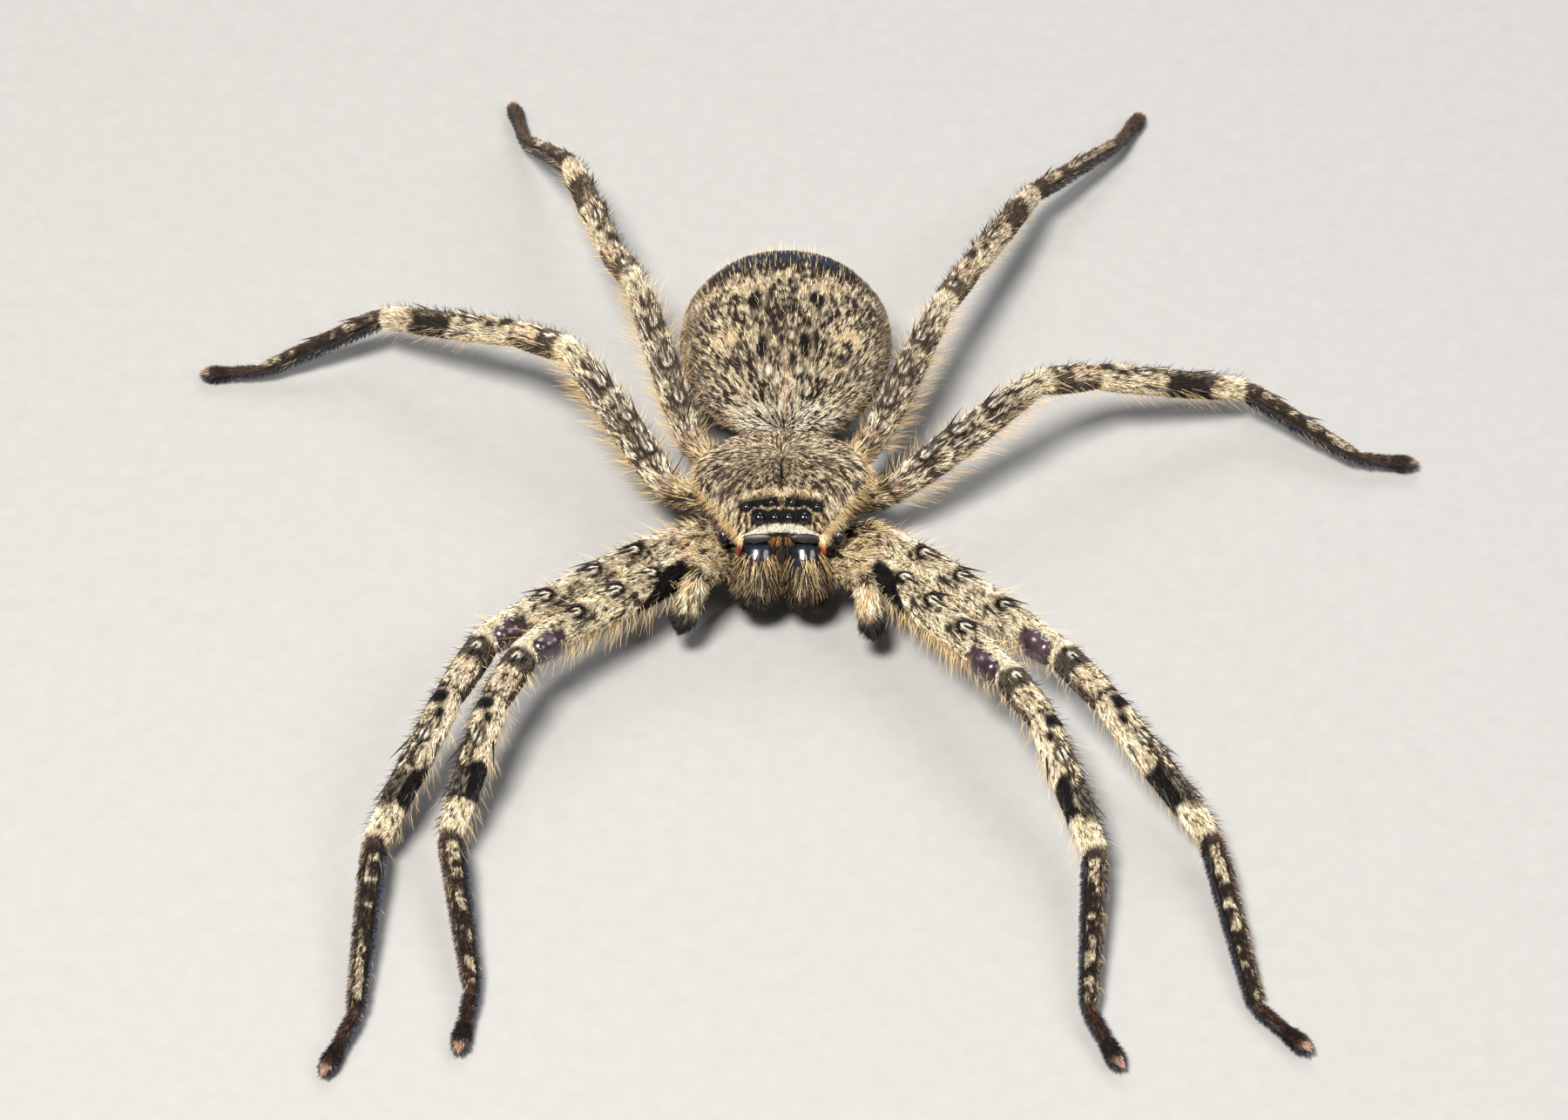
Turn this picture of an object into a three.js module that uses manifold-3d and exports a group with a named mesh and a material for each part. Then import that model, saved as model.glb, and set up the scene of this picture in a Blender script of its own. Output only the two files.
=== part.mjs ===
// Huntsman spider at rest, life size. Millimetres, +Z up, the head faces -Y, the animal's left is +X.
import * as THREE from 'three';
import { mergeVertices } from 'three/addons/utils/BufferGeometryUtils.js';
import Module from 'manifold-3d';

const wasm = await Module();
wasm.setup();

// Driving sizes
const GAP = 0.3;
const EYE_GAP = 0.12;
const MODEL_SHIFT = new THREE.Vector3(-1.4, -0.1, 0);
const CARAPACE_WIDTH = 10.4;
const ABDOMEN = { x: 0.25, y: 12.4, z: 5.1, width: 12.6, length: 14.2, height: 8.8 };
const FOOT_HEIGHT = 0.5;
const SPINE_THICK = 0.5;
const SPINE_LEAN = 27;
const LOCK_WIDTH = 0.6;
const LOCKS_A_ROW = 5;

// Leg spines: [place along the segment, degrees round from the top towards the front, length]
const FEMUR_SPINES = [[0.25, 0, 2.1], [0.47, 0, 2.1], [0.72, 0, 2.0], [0.4, 48, 1.9], [0.66, 46, 1.8],
  [0.42, -36, 1.9], [0.68, -34, 1.8]];
const TIBIA_SPINES = [[0.36, 0, 1.4], [1.28, 0, 1.8], [1.3, 70, 1.8], [1.62, 62, 1.7], [1.34, -62, 1.8],
  [1.66, -58, 1.6]];
const METATARSUS_SPINES = [[0.14, 40, 1.5], [0.16, -50, 1.5], [0.5, -40, 1.3]];

// Lengths of femur, patella, tibia, metatarsus and tarsus, and half widths at the knee and ankles
const LEG_SIZES = {
  1: { lengths: [11.8, 4.6, 8.3, 10.2, 3.8], thick: 1.0 },
  2: { lengths: [14.0, 5.2, 9.7, 11.5, 3.8], thick: 1.0 },
  3: { lengths: [10.9, 4.4, 9.7, 8.0, 3.3], thick: 0.94 },
  4: { lengths: [11.1, 4.5, 9.8, 8.9, 3.7], thick: 0.88 },
};

// Where each leg leaves the body: the coxa's inner end and the femur's root, for the left side
const LEG_ROOTS = {
  1: { inner: [2.6, -2.5, 3.0], root: [5.4, -4.3, 3.7] },
  2: { inner: [2.75, -0.8, 3.0], root: [6.0, -1.7, 3.2] },
  3: { inner: [2.75, 1.1, 3.0], root: [6.5, 1.9, 3.6] },
  4: { inner: [2.35, 2.9, 3.05], root: [5.25, 5.3, 4.0] },
};

// Pose in degrees: heading from straight out to the side, forward negative, and rise above level
const POSE = {
  left: {
    1: { heading: [-53, -62, -69, -94, -66], rise: [7, 2, -21, -8] },
    2: { heading: [-47, -58, -51, -80, -49], rise: [7, 4, -22, -6] },
    3: { heading: [36, 31, 10, -35, -1], rise: [15, -21, -16, -9] },
    4: { heading: [67, 65, 65, 50, 65], rise: [8, -7, -11, -12] },
  },
  right: {
    1: { heading: [-41, -66, -73, -99, -81], rise: [7, 0, -20, -8] },
    2: { heading: [-41, -66, -65, -87, -68], rise: [7, 1, -17, -6] },
    3: { heading: [56, 37, 27, -19, 0], rise: [16, -14, -16, -15] },
    4: { heading: [71, 68, 74, 66, 76], rise: [20, -15, -8, -30] },
  },
};

const COLOURS = {
  shell_hair: [0x8c7a63, 0.85],
  abdomen_hair: [0x93886f, 0.85],
  leg_hair: [0xb5a68c, 0.85],
  dark_leg: [0x4a4038, 0.85],
  underside: [0x5c4d40, 0.8],
  face_hair: [0x6a553c, 0.8],
  fang: [0x2a1510, 0.25],
  eye: [0x0a0a0d, 0.08],
};

const model = new THREE.Group();
const body = new THREE.Group();
body.position.copy(MODEL_SHIFT);
model.add(body);

function add(name, geometry, kind) {
  const [color, roughness] = COLOURS[kind];
  const material = new THREE.MeshStandardMaterial({ color, roughness, metalness: 0 });
  const mesh = new THREE.Mesh(geometry, material);
  mesh.name = name;
  body.add(mesh);
  return mesh;
}

// A closed skin over rings of points, each end closed by a fan to its middle
function skinOver(rings) {
  const sides = rings[0].length;
  const points = rings.flat();
  const middle = (ring) => ring.reduce((sum, p) => sum.add(p), new THREE.Vector3()).divideScalar(sides);
  points.push(middle(rings[0]), middle(rings[rings.length - 1]));
  const faces = [];
  for (let r = 0; r + 1 < rings.length; r++) {
    for (let s = 0; s < sides; s++) {
      const a = r * sides + s;
      const b = r * sides + (s + 1) % sides;
      faces.push(a, b, a + sides, b, b + sides, a + sides);
    }
  }
  const first = points.length - 2;
  const last = points.length - 1;
  const end = (rings.length - 1) * sides;
  for (let s = 0; s < sides; s++) {
    const next = (s + 1) % sides;
    faces.push(first, next, s, last, end + s, end + next);
  }
  const geometry = new THREE.BufferGeometry();
  geometry.setAttribute('position', new THREE.Float32BufferAttribute(points.flatMap((p) => p.toArray()), 3));
  geometry.setIndex(faces);
  return pointedOut(geometry);
}

// Faces point out when the volume they enclose is positive
function pointedOut(geometry) {
  const position = geometry.getAttribute('position');
  const index = geometry.getIndex().array;
  const corner = (i) => new THREE.Vector3().fromBufferAttribute(position, i);
  let volume = 0;
  for (let i = 0; i < index.length; i += 3) {
    volume += corner(index[i]).dot(corner(index[i + 1]).cross(corner(index[i + 2])));
  }
  if (volume < 0) {
    for (let i = 0; i < index.length; i += 3) {
      [index[i + 1], index[i + 2]] = [index[i + 2], index[i + 1]];
    }
  }
  geometry.computeVertexNormals();
  return geometry;
}

function toSolid(geometry) {
  const bare = geometry.clone();
  bare.deleteAttribute('normal');
  if (bare.getAttribute('uv')) {
    bare.deleteAttribute('uv');
  }
  const merged = mergeVertices(bare, 1e-4);
  const vertProperties = new Float32Array(merged.getAttribute('position').array);
  const triVerts = new Uint32Array(merged.getIndex().array);
  return new wasm.Manifold(new wasm.Mesh({ numProp: 3, vertProperties, triVerts }));
}

// The largest closed surface of a solid, as a geometry
function toGeometry(solid) {
  const pieces = solid.decompose();
  pieces.sort((a, b) => b.volume() - a.volume());
  const mesh = pieces[0].getMesh();
  const geometry = new THREE.BufferGeometry();
  geometry.setAttribute('position', new THREE.Float32BufferAttribute(mesh.vertProperties, 3));
  geometry.setIndex(Array.from(mesh.triVerts));
  geometry.computeVertexNormals();
  return geometry;
}

const point = (xyz, side = 1) => new THREE.Vector3(side * xyz[0], xyz[1], xyz[2]);
const direction = (a, b) => b.clone().sub(a).normalize();

// Width and height axes of a limb's section: one level, one as upright as the limb allows
function sectionAxes(along) {
  const wide = new THREE.Vector3().crossVectors(along, new THREE.Vector3(0, 0, 1)).normalize();
  const high = new THREE.Vector3().crossVectors(wide, along).normalize();
  return { wide, high };
}

// A limb along joints. Stations are [place along the joints, half width, half height].
// Its end faces are mitred to the neighbours' directions, half a gap short of the joint.
function limb(joints, stations, { sides = 10, before = null, after = null, floor = null } = {}) {
  const count = joints.length - 1;
  const along = joints.slice(0, count).map((joint, i) => direction(joint, joints[i + 1]));
  const rings = stations.map(([place, halfWidth, halfHeight]) => {
    const piece = Math.min(Math.floor(place), count - 1);
    const axis = along[piece];
    const centre = joints[piece].clone().lerp(joints[piece + 1], place - piece);
    const { wide, high } = sectionAxes(axis);
    let plane = null;
    let inset = 0;
    if (place === 0 && before) {
      plane = before.clone().add(axis).normalize();
      inset = GAP / 2;
    } else if (place === count && after) {
      plane = after.clone().add(axis).normalize();
      inset = -GAP / 2;
    } else if (Number.isInteger(place) && place > 0 && place < count) {
      plane = along[place - 1].clone().add(axis).normalize();
    }
    return Array.from({ length: sides }, (_, k) => {
      const turn = (k + 0.5) / sides * Math.PI * 2;
      const p = centre.clone();
      p.addScaledVector(wide, halfWidth * Math.cos(turn));
      p.addScaledVector(high, halfHeight * Math.sin(turn));
      if (plane) {
        const off = p.clone().sub(centre).dot(plane) - inset;
        p.addScaledVector(axis, -off / axis.dot(plane));
      }
      if (floor !== null && p.z < floor) {
        p.z = floor;
      }
      return p;
    });
  });
  return skinOver(rings);
}

// A tapered spine or lock from a root sunk under the surface, flat across where flatness is under 1
function taper(root, way, length, thick, sides = 5, flatness = 1) {
  const sunk = 0.35 * thick + 0.25;
  const cone = new THREE.ConeGeometry(thick / 2, length + sunk, sides, 1, false);
  cone.scale(1, 1, flatness);
  cone.translate(0, (length + sunk) / 2 - sunk, 0);
  const turn = new THREE.Quaternion().setFromUnitVectors(new THREE.Vector3(0, 1, 0), way);
  cone.applyQuaternion(turn);
  cone.translate(root.x, root.y, root.z);
  return toSolid(cone);
}

function joined(base, pieces) {
  return toGeometry(pieces.reduce((whole, piece) => whole.add(piece), toSolid(base)));
}

// Spines on a limb: each is [place along the joints, degrees round from the top, length].
// Degrees grow towards the front of the animal, and each spine leans back over the limb towards the foot.
function spinesOn(joints, stations, spines, front) {
  return spines.map(([place, degrees, length]) => {
    const piece = Math.min(Math.floor(place), joints.length - 2);
    const axis = direction(joints[piece], joints[piece + 1]);
    const centre = joints[piece].clone().lerp(joints[piece + 1], place - piece);
    const { wide, high } = sectionAxes(axis);
    const frontWay = wide.dot(front) < 0 ? wide.clone().negate() : wide;
    const next = Math.max(1, stations.findIndex((station) => station[0] >= place));
    const [from, to] = [stations[next - 1], stations[next]];
    const share = (place - from[0]) / (to[0] - from[0]);
    const halfWidth = THREE.MathUtils.lerp(from[1], to[1], share);
    const halfHeight = THREE.MathUtils.lerp(from[2], to[2], share);
    const round = THREE.MathUtils.degToRad(degrees);
    const root = centre.clone();
    root.addScaledVector(high, 0.97 * halfHeight * Math.cos(round));
    root.addScaledVector(frontWay, 0.97 * halfWidth * Math.sin(round));
    const out = high.clone().multiplyScalar(Math.cos(round)).addScaledVector(frontWay, Math.sin(round));
    const lean = THREE.MathUtils.degToRad(SPINE_LEAN);
    const way = axis.clone().multiplyScalar(Math.cos(lean)).addScaledVector(out, Math.sin(lean)).normalize();
    return taper(root, way, length, SPINE_THICK);
  });
}

// Joints of one leg, from the femur's root to the tip of the foot
function legJoints(number, sideName) {
  const side = sideName === 'left' ? 1 : -1;
  const { lengths } = LEG_SIZES[number];
  const { heading, rise } = POSE[sideName][number];
  const joints = [point(LEG_ROOTS[number].root, side)];
  lengths.forEach((length, i) => {
    const from = joints[i];
    const climb = i < 4 ? Math.sin(THREE.MathUtils.degToRad(rise[i])) : (FOOT_HEIGHT - from.z) / length;
    const level = Math.sqrt(1 - climb * climb);
    const turn = THREE.MathUtils.degToRad(heading[i]);
    const step = new THREE.Vector3(side * level * Math.cos(turn), level * Math.sin(turn), climb);
    joints.push(from.clone().addScaledVector(step, length));
  });
  return joints;
}

function buildLeg(number, sideName) {
  const side = sideName === 'left' ? 1 : -1;
  const name = `${sideName}_leg_${number}`;
  const { thick } = LEG_SIZES[number];
  const inner = point(LEG_ROOTS[number].inner, side);
  const [root, knee, patellaEnd, shin, ankle, tip] = legJoints(number, sideName);
  const coxaWay = direction(inner, root);
  const femurWay = direction(root, knee);
  const patellaWay = direction(knee, patellaEnd);
  const tibiaWay = direction(patellaEnd, shin);
  const metatarsusWay = direction(shin, ankle);
  const tarsusWay = direction(ankle, tip);
  const scaled = (stations) => stations.map(([place, wide, high]) => [place, wide * thick, high * thick]);

  const front = new THREE.Vector3(0, -1, 0);
  const withSpines = (joints, stations, spines, options) =>
    joined(limb(joints, stations, options), spinesOn(joints, stations, spines, front));

  add(`${name}_coxa`, limb([inner, root],
    scaled([[0, 0.6, 0.7], [0.2, 0.76, 0.9], [0.6, 0.95, 1.0], [0.82, 0.98, 1.0], [1, 0.86, 0.9]]),
    { before: coxaWay, after: femurWay }), 'underside');
  add(`${name}_femur`, withSpines([root, knee],
    scaled([[0, 0.86, 0.9], [0.08, 1.02, 1.08], [0.25, 1.16, 1.26], [0.45, 1.18, 1.28], [0.7, 1.08, 1.14],
      [0.9, 0.98, 1.02], [1, 0.82, 0.86]]),
    FEMUR_SPINES, { before: coxaWay, after: patellaWay }), 'leg_hair');
  add(`${name}_tibia`, withSpines([knee, patellaEnd, shin],
    scaled([[0, 0.82, 0.86], [0.3, 1.02, 1.02], [0.7, 1.02, 1.0], [1, 0.9, 0.9], [1.12, 0.98, 0.98],
      [1.45, 1.0, 1.0], [1.8, 0.9, 0.92], [1.95, 0.84, 0.86], [2, 0.7, 0.72]]),
    TIBIA_SPINES, { before: femurWay, after: metatarsusWay }), 'leg_hair');
  add(`${name}_metatarsus`, withSpines([shin, ankle],
    scaled([[0, 0.7, 0.72], [0.1, 0.8, 0.78], [0.5, 0.72, 0.68], [0.9, 0.6, 0.58], [1, 0.48, 0.48]]),
    METATARSUS_SPINES, { before: tibiaWay, after: tarsusWay, sides: 8 }), 'dark_leg');
  add(`${name}_tarsus`, limb([ankle, tip],
    scaled([[0, 0.46, 0.46], [0.12, 0.52, 0.52], [0.55, 0.48, 0.52], [0.8, 0.6, 0.62], [0.95, 0.6, 0.62],
      [1.08, 0.34, 0.36]]),
    { before: metatarsusWay, sides: 8, floor: 0 }), 'dark_leg');
}

// Carapace stations from the front edge to the rear: place, half width, ridge height, rim height
const CARAPACE = [
  [-4.35, 0.42, 6.02, 5.8], [-4.1, 0.46, 6.3, 5.72], [-3.65, 0.52, 6.78, 5.6], [-3.1, 0.58, 7.22, 5.45],
  [-2.5, 0.65, 7.5, 5.3], [-1.6, 0.74, 7.68, 5.12], [-0.5, 0.86, 7.6, 4.95], [0.6, 0.96, 7.34, 4.8],
  [1.6, 1.0, 7.18, 4.7], [2.6, 0.98, 6.88, 4.62], [3.6, 0.88, 6.46, 4.55], [4.5, 0.71, 5.94, 4.5],
  [5.05, 0.52, 5.4, 4.5], [5.35, 0.32, 4.9, 4.52],
];

function carapaceRim(y) {
  const next = Math.max(1, CARAPACE.findIndex((station) => station[0] >= y));
  const [from, to] = [CARAPACE[next - 1], CARAPACE[next]];
  return THREE.MathUtils.lerp(from[3], to[3], (y - from[0]) / (to[0] - from[0]));
}

function carapaceShell() {
  const archSteps = 14;
  const floorSteps = 6;
  const rings = CARAPACE.map(([y, share, ridge, rim]) => {
    const half = share * CARAPACE_WIDTH / 2;
    const ring = [];
    for (let k = 0; k <= archSteps; k++) {
      const turn = k / archSteps * Math.PI;
      const x = half * Math.cos(turn);
      const lift = Math.pow(Math.sin(turn), 0.8);
      ring.push(new THREE.Vector3(x, y, rim + (ridge - rim) * lift));
    }
    for (let k = 1; k < floorSteps; k++) {
      const x = -half + 2 * half * k / floorSteps;
      const lift = 0.12 * (1 - (x / half) ** 2);
      ring.push(new THREE.Vector3(x, y, rim - lift * 0.5));
    }
    return ring;
  });
  return skinOver(rings);
}

// Eyes of the left side: name, place across, along and up, and radius
const EYES = [
  ['front_middle_eye', 0.4, -3.42, 6.9, 0.33],
  ['front_side_eye', 1.28, -3.4, 6.86, 0.4],
  ['rear_middle_eye', 0.59, -2.66, 7.36, 0.25],
  ['rear_side_eye', 2.02, -2.66, 7.0, 0.3],
];

function buildHeadAndEyes() {
  let shell = toSolid(carapaceShell());
  for (const [name, x, y, z, radius] of EYES) {
    for (const [sideName, side] of [['left', 1], ['right', -1]]) {
      const place = point([x, y, z], side);
      const socket = new THREE.IcosahedronGeometry(radius + EYE_GAP, 1).translate(place.x, place.y, place.z);
      shell = shell.subtract(toSolid(socket));
      const eye = new THREE.IcosahedronGeometry(radius, 1).translate(place.x, place.y, place.z);
      const merged = toGeometry(toSolid(eye));
      add(`${sideName}_${name}`, merged, 'eye');
    }
  }
  add('carapace', toGeometry(shell), 'shell_hair');
}

// Breastplate with the mouthparts under the head, filling the space between the coxae
function buildSternum() {
  const stations = [[-3.35, 0.9], [-2.9, 1.5], [-1.8, 2.0], [-0.2, 2.2], [1.6, 2.15], [3.0, 1.75], [3.9, 1.1],
    [4.3, 0.6]];
  const sides = 16;
  const rings = stations.map(([y, half]) => {
    const top = carapaceRim(y) - GAP - 0.1;
    const under = 2.1 + 0.08 * (y - 0.5) ** 2;
    const middle = (top + under) / 2;
    return Array.from({ length: sides }, (_, k) => {
      const turn = k / sides * Math.PI * 2;
      return new THREE.Vector3(half * Math.cos(turn), y, middle + (top - under) / 2 * Math.sin(turn));
    });
  });
  add('sternum', skinOver(rings), 'underside');
}

function buildAbdomen() {
  const steps = 16;
  const sides = 24;
  const rings = [];
  for (let r = 0; r <= steps; r++) {
    const turn = (0.06 + 0.88 * r / steps) * Math.PI;
    const along = -Math.cos(turn);
    const swell = Math.sin(turn) * (1 + 0.07 * along);
    const y = ABDOMEN.y + ABDOMEN.length / 2 * along;
    rings.push(Array.from({ length: sides }, (_, k) => {
      const around = k / sides * Math.PI * 2;
      const x = ABDOMEN.x + ABDOMEN.width / 2 * swell * Math.cos(around);
      const z = ABDOMEN.z + ABDOMEN.height / 2 * swell * Math.sin(around) - 0.25 * along * along;
      return new THREE.Vector3(x, y, z);
    }));
  }
  const stalk = limb([new THREE.Vector3(0, 4.62, 3.5), new THREE.Vector3(0.1, 7.4, 4.2)],
    [[0, 0.45, 0.4], [0.5, 0.6, 0.55], [1, 0.8, 0.8]], { sides: 8 });
  add('abdomen', toGeometry(toSolid(skinOver(rings)).add(toSolid(stalk))), 'abdomen_hair');
}

// Two pairs of short spinning tubes on a common base behind the abdomen
function buildSpinnerets() {
  const back = ABDOMEN.y + ABDOMEN.length / 2;
  const middle = new THREE.Vector3(ABDOMEN.x, back - 0.08, 3.4);
  const tube = (across, up, length, thick) => {
    const from = middle.clone().add(new THREE.Vector3(across * 0.5, 0.1, up * 0.5));
    const to = from.clone().add(new THREE.Vector3(across * 0.35, length, up * 0.3));
    return toSolid(limb([from, to], [[0, thick, thick], [0.6, thick * 0.9, thick * 0.9], [1, thick * 0.5, thick * 0.5]],
      { sides: 8 }));
  };
  const hub = limb([middle.clone(), middle.clone().add(new THREE.Vector3(0, 0.6, 0))],
    [[0, 0.8, 0.7], [1, 0.7, 0.6]], { sides: 10 });
  let solid = toSolid(hub);
  for (const across of [-1, 1]) {
    solid = solid.add(tube(across, 1, 1.0, 0.34)).add(tube(across, -1, 1.1, 0.38));
  }
  add('spinnerets', toGeometry(solid), 'abdomen_hair');
}

// Seeded draws, so that each build places the locks alike
function seededDraws(seed) {
  let state = seed;
  return () => {
    state = (state * 16807) % 2147483647;
    return state / 2147483647;
  };
}

// Bristle locks in rows round the front of a jaw, each lying down over the next row
function jawLocks(side) {
  const draw = seededDraws(side > 0 ? 11 : 29);
  const rows = [{ z: 4.1, y: -4.9, depth: 1.08 }, { z: 3.2, y: -5.15, depth: 1.05 }, { z: 2.4, y: -5.32, depth: 0.98 }];
  const locks = [];
  for (const { z, y, depth } of rows) {
    for (let k = 0; k < LOCKS_A_ROW; k++) {
      const round = THREE.MathUtils.degToRad(-35 + 120 * (k + 0.3 * draw()) / (LOCKS_A_ROW - 1));
      const out = new THREE.Vector3(side * Math.sin(round), -Math.cos(round), 0);
      const root = new THREE.Vector3(side * 1.4, y, z).addScaledVector(out, 0.93 * depth);
      const way = out.clone().multiplyScalar(0.3).add(new THREE.Vector3(0, -0.1, -1)).normalize();
      locks.push(taper(root, way, 1.0 + 0.3 * draw(), LOCK_WIDTH, 4, 0.7));
    }
  }
  return locks;
}

// Locks round the end of a palp, along it and a little out
function palpLocks(from, to) {
  const draw = seededDraws(17);
  const axis = direction(from, to);
  const { wide, high } = sectionAxes(axis);
  const locks = [];
  for (let k = 0; k < 7; k++) {
    const round = Math.PI * 2 * (k + 0.4 * draw()) / 7;
    const out = wide.clone().multiplyScalar(Math.cos(round)).addScaledVector(high, Math.sin(round));
    const root = from.clone().lerp(to, 0.72).addScaledVector(out, 0.6);
    const way = axis.clone().addScaledVector(out, 0.22).normalize();
    locks.push(taper(root, way, 0.9 + 0.2 * draw(), LOCK_WIDTH, 4, 0.7));
  }
  return locks;
}

function buildJawsAndPalps(sideName) {
  const side = sideName === 'left' ? 1 : -1;
  const jawLine = [[1.3, -3.85, 5.3], [1.36, -4.55, 4.6], [1.4, -5.05, 3.6], [1.4, -5.3, 2.6], [1.36, -5.4, 1.95]];
  const jaw = limb(jawLine.map((p) => point(p, side)),
    [[0, 0.85, 0.5], [0.35, 1.08, 0.85], [1, 1.2, 1.1], [2, 1.22, 1.16], [3, 1.16, 1.06], [3.6, 1.02, 0.9],
      [4, 0.8, 0.66]],
    { sides: 12 });
  add(`${sideName}_chelicera`, joined(jaw, jawLocks(side)), 'face_hair');

  const fangLine = [[1.3, -5.15, 1.6], [0.95, -4.75, 1.3], [0.5, -4.55, 1.35]];
  add(`${sideName}_fang`, limb(fangLine.map((p) => point(p, side)),
    [[0, 0.34, 0.34], [1, 0.26, 0.26], [1.6, 0.16, 0.16], [2, 0.05, 0.05]], { sides: 8 }), 'fang');

  const palpRoot = point([3.0, -4.5, 3.6], side);
  const palpKnee = point(sideName === 'left' ? [4.8, -6.3, 4.6] : [4.75, -5.9, 4.75], side);
  const palpTip = point(sideName === 'left' ? [5.25, -8.25, 2.3] : [5.75, -7.75, 2.25], side);
  const upperWay = direction(palpRoot, palpKnee);
  const lowerWay = direction(palpKnee, palpTip);
  add(`${sideName}_palp_upper`, limb([palpRoot, palpKnee],
    [[0, 0.32, 0.36], [0.25, 0.44, 0.5], [0.65, 0.58, 0.62], [1, 0.54, 0.56]],
    { after: lowerWay }), 'leg_hair');
  const lower = limb([palpKnee, palpTip],
    [[0, 0.54, 0.56], [0.2, 0.66, 0.66], [0.55, 0.66, 0.68], [0.85, 0.68, 0.7], [0.97, 0.5, 0.52],
      [1.04, 0.26, 0.26]],
    { before: upperWay });
  add(`${sideName}_palp_lower`, joined(lower, palpLocks(palpKnee, palpTip)), 'leg_hair');
}

buildHeadAndEyes();
buildSternum();
buildAbdomen();
buildSpinnerets();
for (const sideName of ['left', 'right']) {
  buildJawsAndPalps(sideName);
  for (const number of [1, 2, 3, 4]) {
    buildLeg(number, sideName);
  }
}

export default model;
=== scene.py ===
"""A huntsman spider, life size: skin, coat, spines, eyes and jaws built round the frame's solids."""

import math

import bpy
import numpy as np
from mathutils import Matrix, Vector


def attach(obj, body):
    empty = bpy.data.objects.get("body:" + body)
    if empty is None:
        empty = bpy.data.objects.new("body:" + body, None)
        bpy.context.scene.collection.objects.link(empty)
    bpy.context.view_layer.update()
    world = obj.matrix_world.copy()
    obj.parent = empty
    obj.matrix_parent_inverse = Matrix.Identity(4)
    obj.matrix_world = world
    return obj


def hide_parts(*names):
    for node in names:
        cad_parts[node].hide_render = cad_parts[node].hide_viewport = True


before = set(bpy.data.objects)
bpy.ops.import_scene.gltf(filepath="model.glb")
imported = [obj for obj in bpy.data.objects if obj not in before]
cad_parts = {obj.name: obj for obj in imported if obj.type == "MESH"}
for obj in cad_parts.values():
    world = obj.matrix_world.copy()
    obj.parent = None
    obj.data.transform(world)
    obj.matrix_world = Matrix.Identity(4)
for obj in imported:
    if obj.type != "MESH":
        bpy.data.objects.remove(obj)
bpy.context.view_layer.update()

MM = 0.001
SIDES = {"left": 1, "right": -1}
UP = np.array([0.0, 0.0, 1.0])

# Sizes of the body, in millimetres, in the body's own frame
MODEL_SHIFT = np.array([-1.4, -0.1, 0.0])
CARAPACE_WIDTH = 10.4
ABDOMEN_CENTRE = np.array([0.25, 12.4, 5.1])
ABDOMEN_HALF = np.array([6.3, 7.1, 4.4])
FOOT_HEIGHT = 0.5
COAT_DEPTH, ABDOMEN_COAT_DEPTH = 0.17, 0.14

# Lengths of femur, patella, tibia, metatarsus and tarsus, and how thick the leg is
LEG_LENGTHS = {1: (11.8, 4.6, 8.3, 10.2, 3.8), 2: (14.0, 5.2, 9.7, 11.5, 3.8),
               3: (10.9, 4.4, 9.7, 8.0, 3.3), 4: (11.1, 4.5, 9.8, 8.9, 3.7)}
LEG_THICK = {1: 1.0, 2: 1.0, 3: 0.94, 4: 0.88}

# Coxa's inner end and femur's root, for the left side
LEG_ROOTS = {1: ((2.6, -2.5, 3.0), (5.4, -4.3, 3.7)), 2: ((2.75, -0.8, 3.0), (6.0, -1.7, 3.2)),
             3: ((2.75, 1.1, 3.0), (6.5, 1.9, 3.6)), 4: ((2.35, 2.9, 3.05), (5.25, 5.3, 4.0))}

# Degrees from straight out to the side, forward negative, and degrees of rise
HEADING = {("left", 1): (-53, -62, -69, -94, -66), ("left", 2): (-47, -58, -51, -80, -49),
           ("left", 3): (36, 31, 10, -35, -1), ("left", 4): (67, 65, 65, 50, 65),
           ("right", 1): (-41, -66, -73, -99, -81), ("right", 2): (-41, -66, -65, -87, -68),
           ("right", 3): (56, 37, 27, -19, 0), ("right", 4): (71, 68, 74, 66, 76)}
RISE = {("left", 1): (7, 2, -21, -8), ("left", 2): (7, 4, -22, -6),
        ("left", 3): (15, -21, -16, -9), ("left", 4): (8, -7, -11, -12),
        ("right", 1): (7, 0, -20, -8), ("right", 2): (7, 1, -17, -6),
        ("right", 3): (16, -14, -16, -15), ("right", 4): (20, -15, -8, -30)}

# Carapace: place along, share of the half width, ridge height, rim height
CARAPACE = ((-4.35, 0.42, 6.02, 5.8), (-4.1, 0.46, 6.3, 5.72), (-3.65, 0.52, 6.78, 5.6),
            (-3.1, 0.58, 7.22, 5.45), (-2.5, 0.65, 7.5, 5.3), (-1.6, 0.74, 7.68, 5.12),
            (-0.5, 0.86, 7.6, 4.95), (0.6, 0.96, 7.34, 4.8), (1.6, 1.0, 7.18, 4.7),
            (2.6, 0.98, 6.88, 4.62), (3.6, 0.88, 6.46, 4.55), (4.5, 0.71, 5.94, 4.5),
            (5.05, 0.52, 5.4, 4.5), (5.35, 0.32, 4.9, 4.52))

# Eyes of the left side: place across, along and up, and radius
EYES = {"front_middle_eye": (0.4, -3.42, 6.9, 0.33), "front_side_eye": (1.28, -3.4, 6.86, 0.4),
        "rear_middle_eye": (0.59, -2.66, 7.36, 0.25), "rear_side_eye": (2.02, -2.66, 7.0, 0.3)}

# Sternum: place along and half width
STERNUM = ((-3.35, 0.9), (-2.9, 1.5), (-1.8, 2.0), (-0.2, 2.2), (1.6, 2.15), (3.0, 1.75), (3.9, 1.1),
           (4.3, 0.6))

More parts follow.
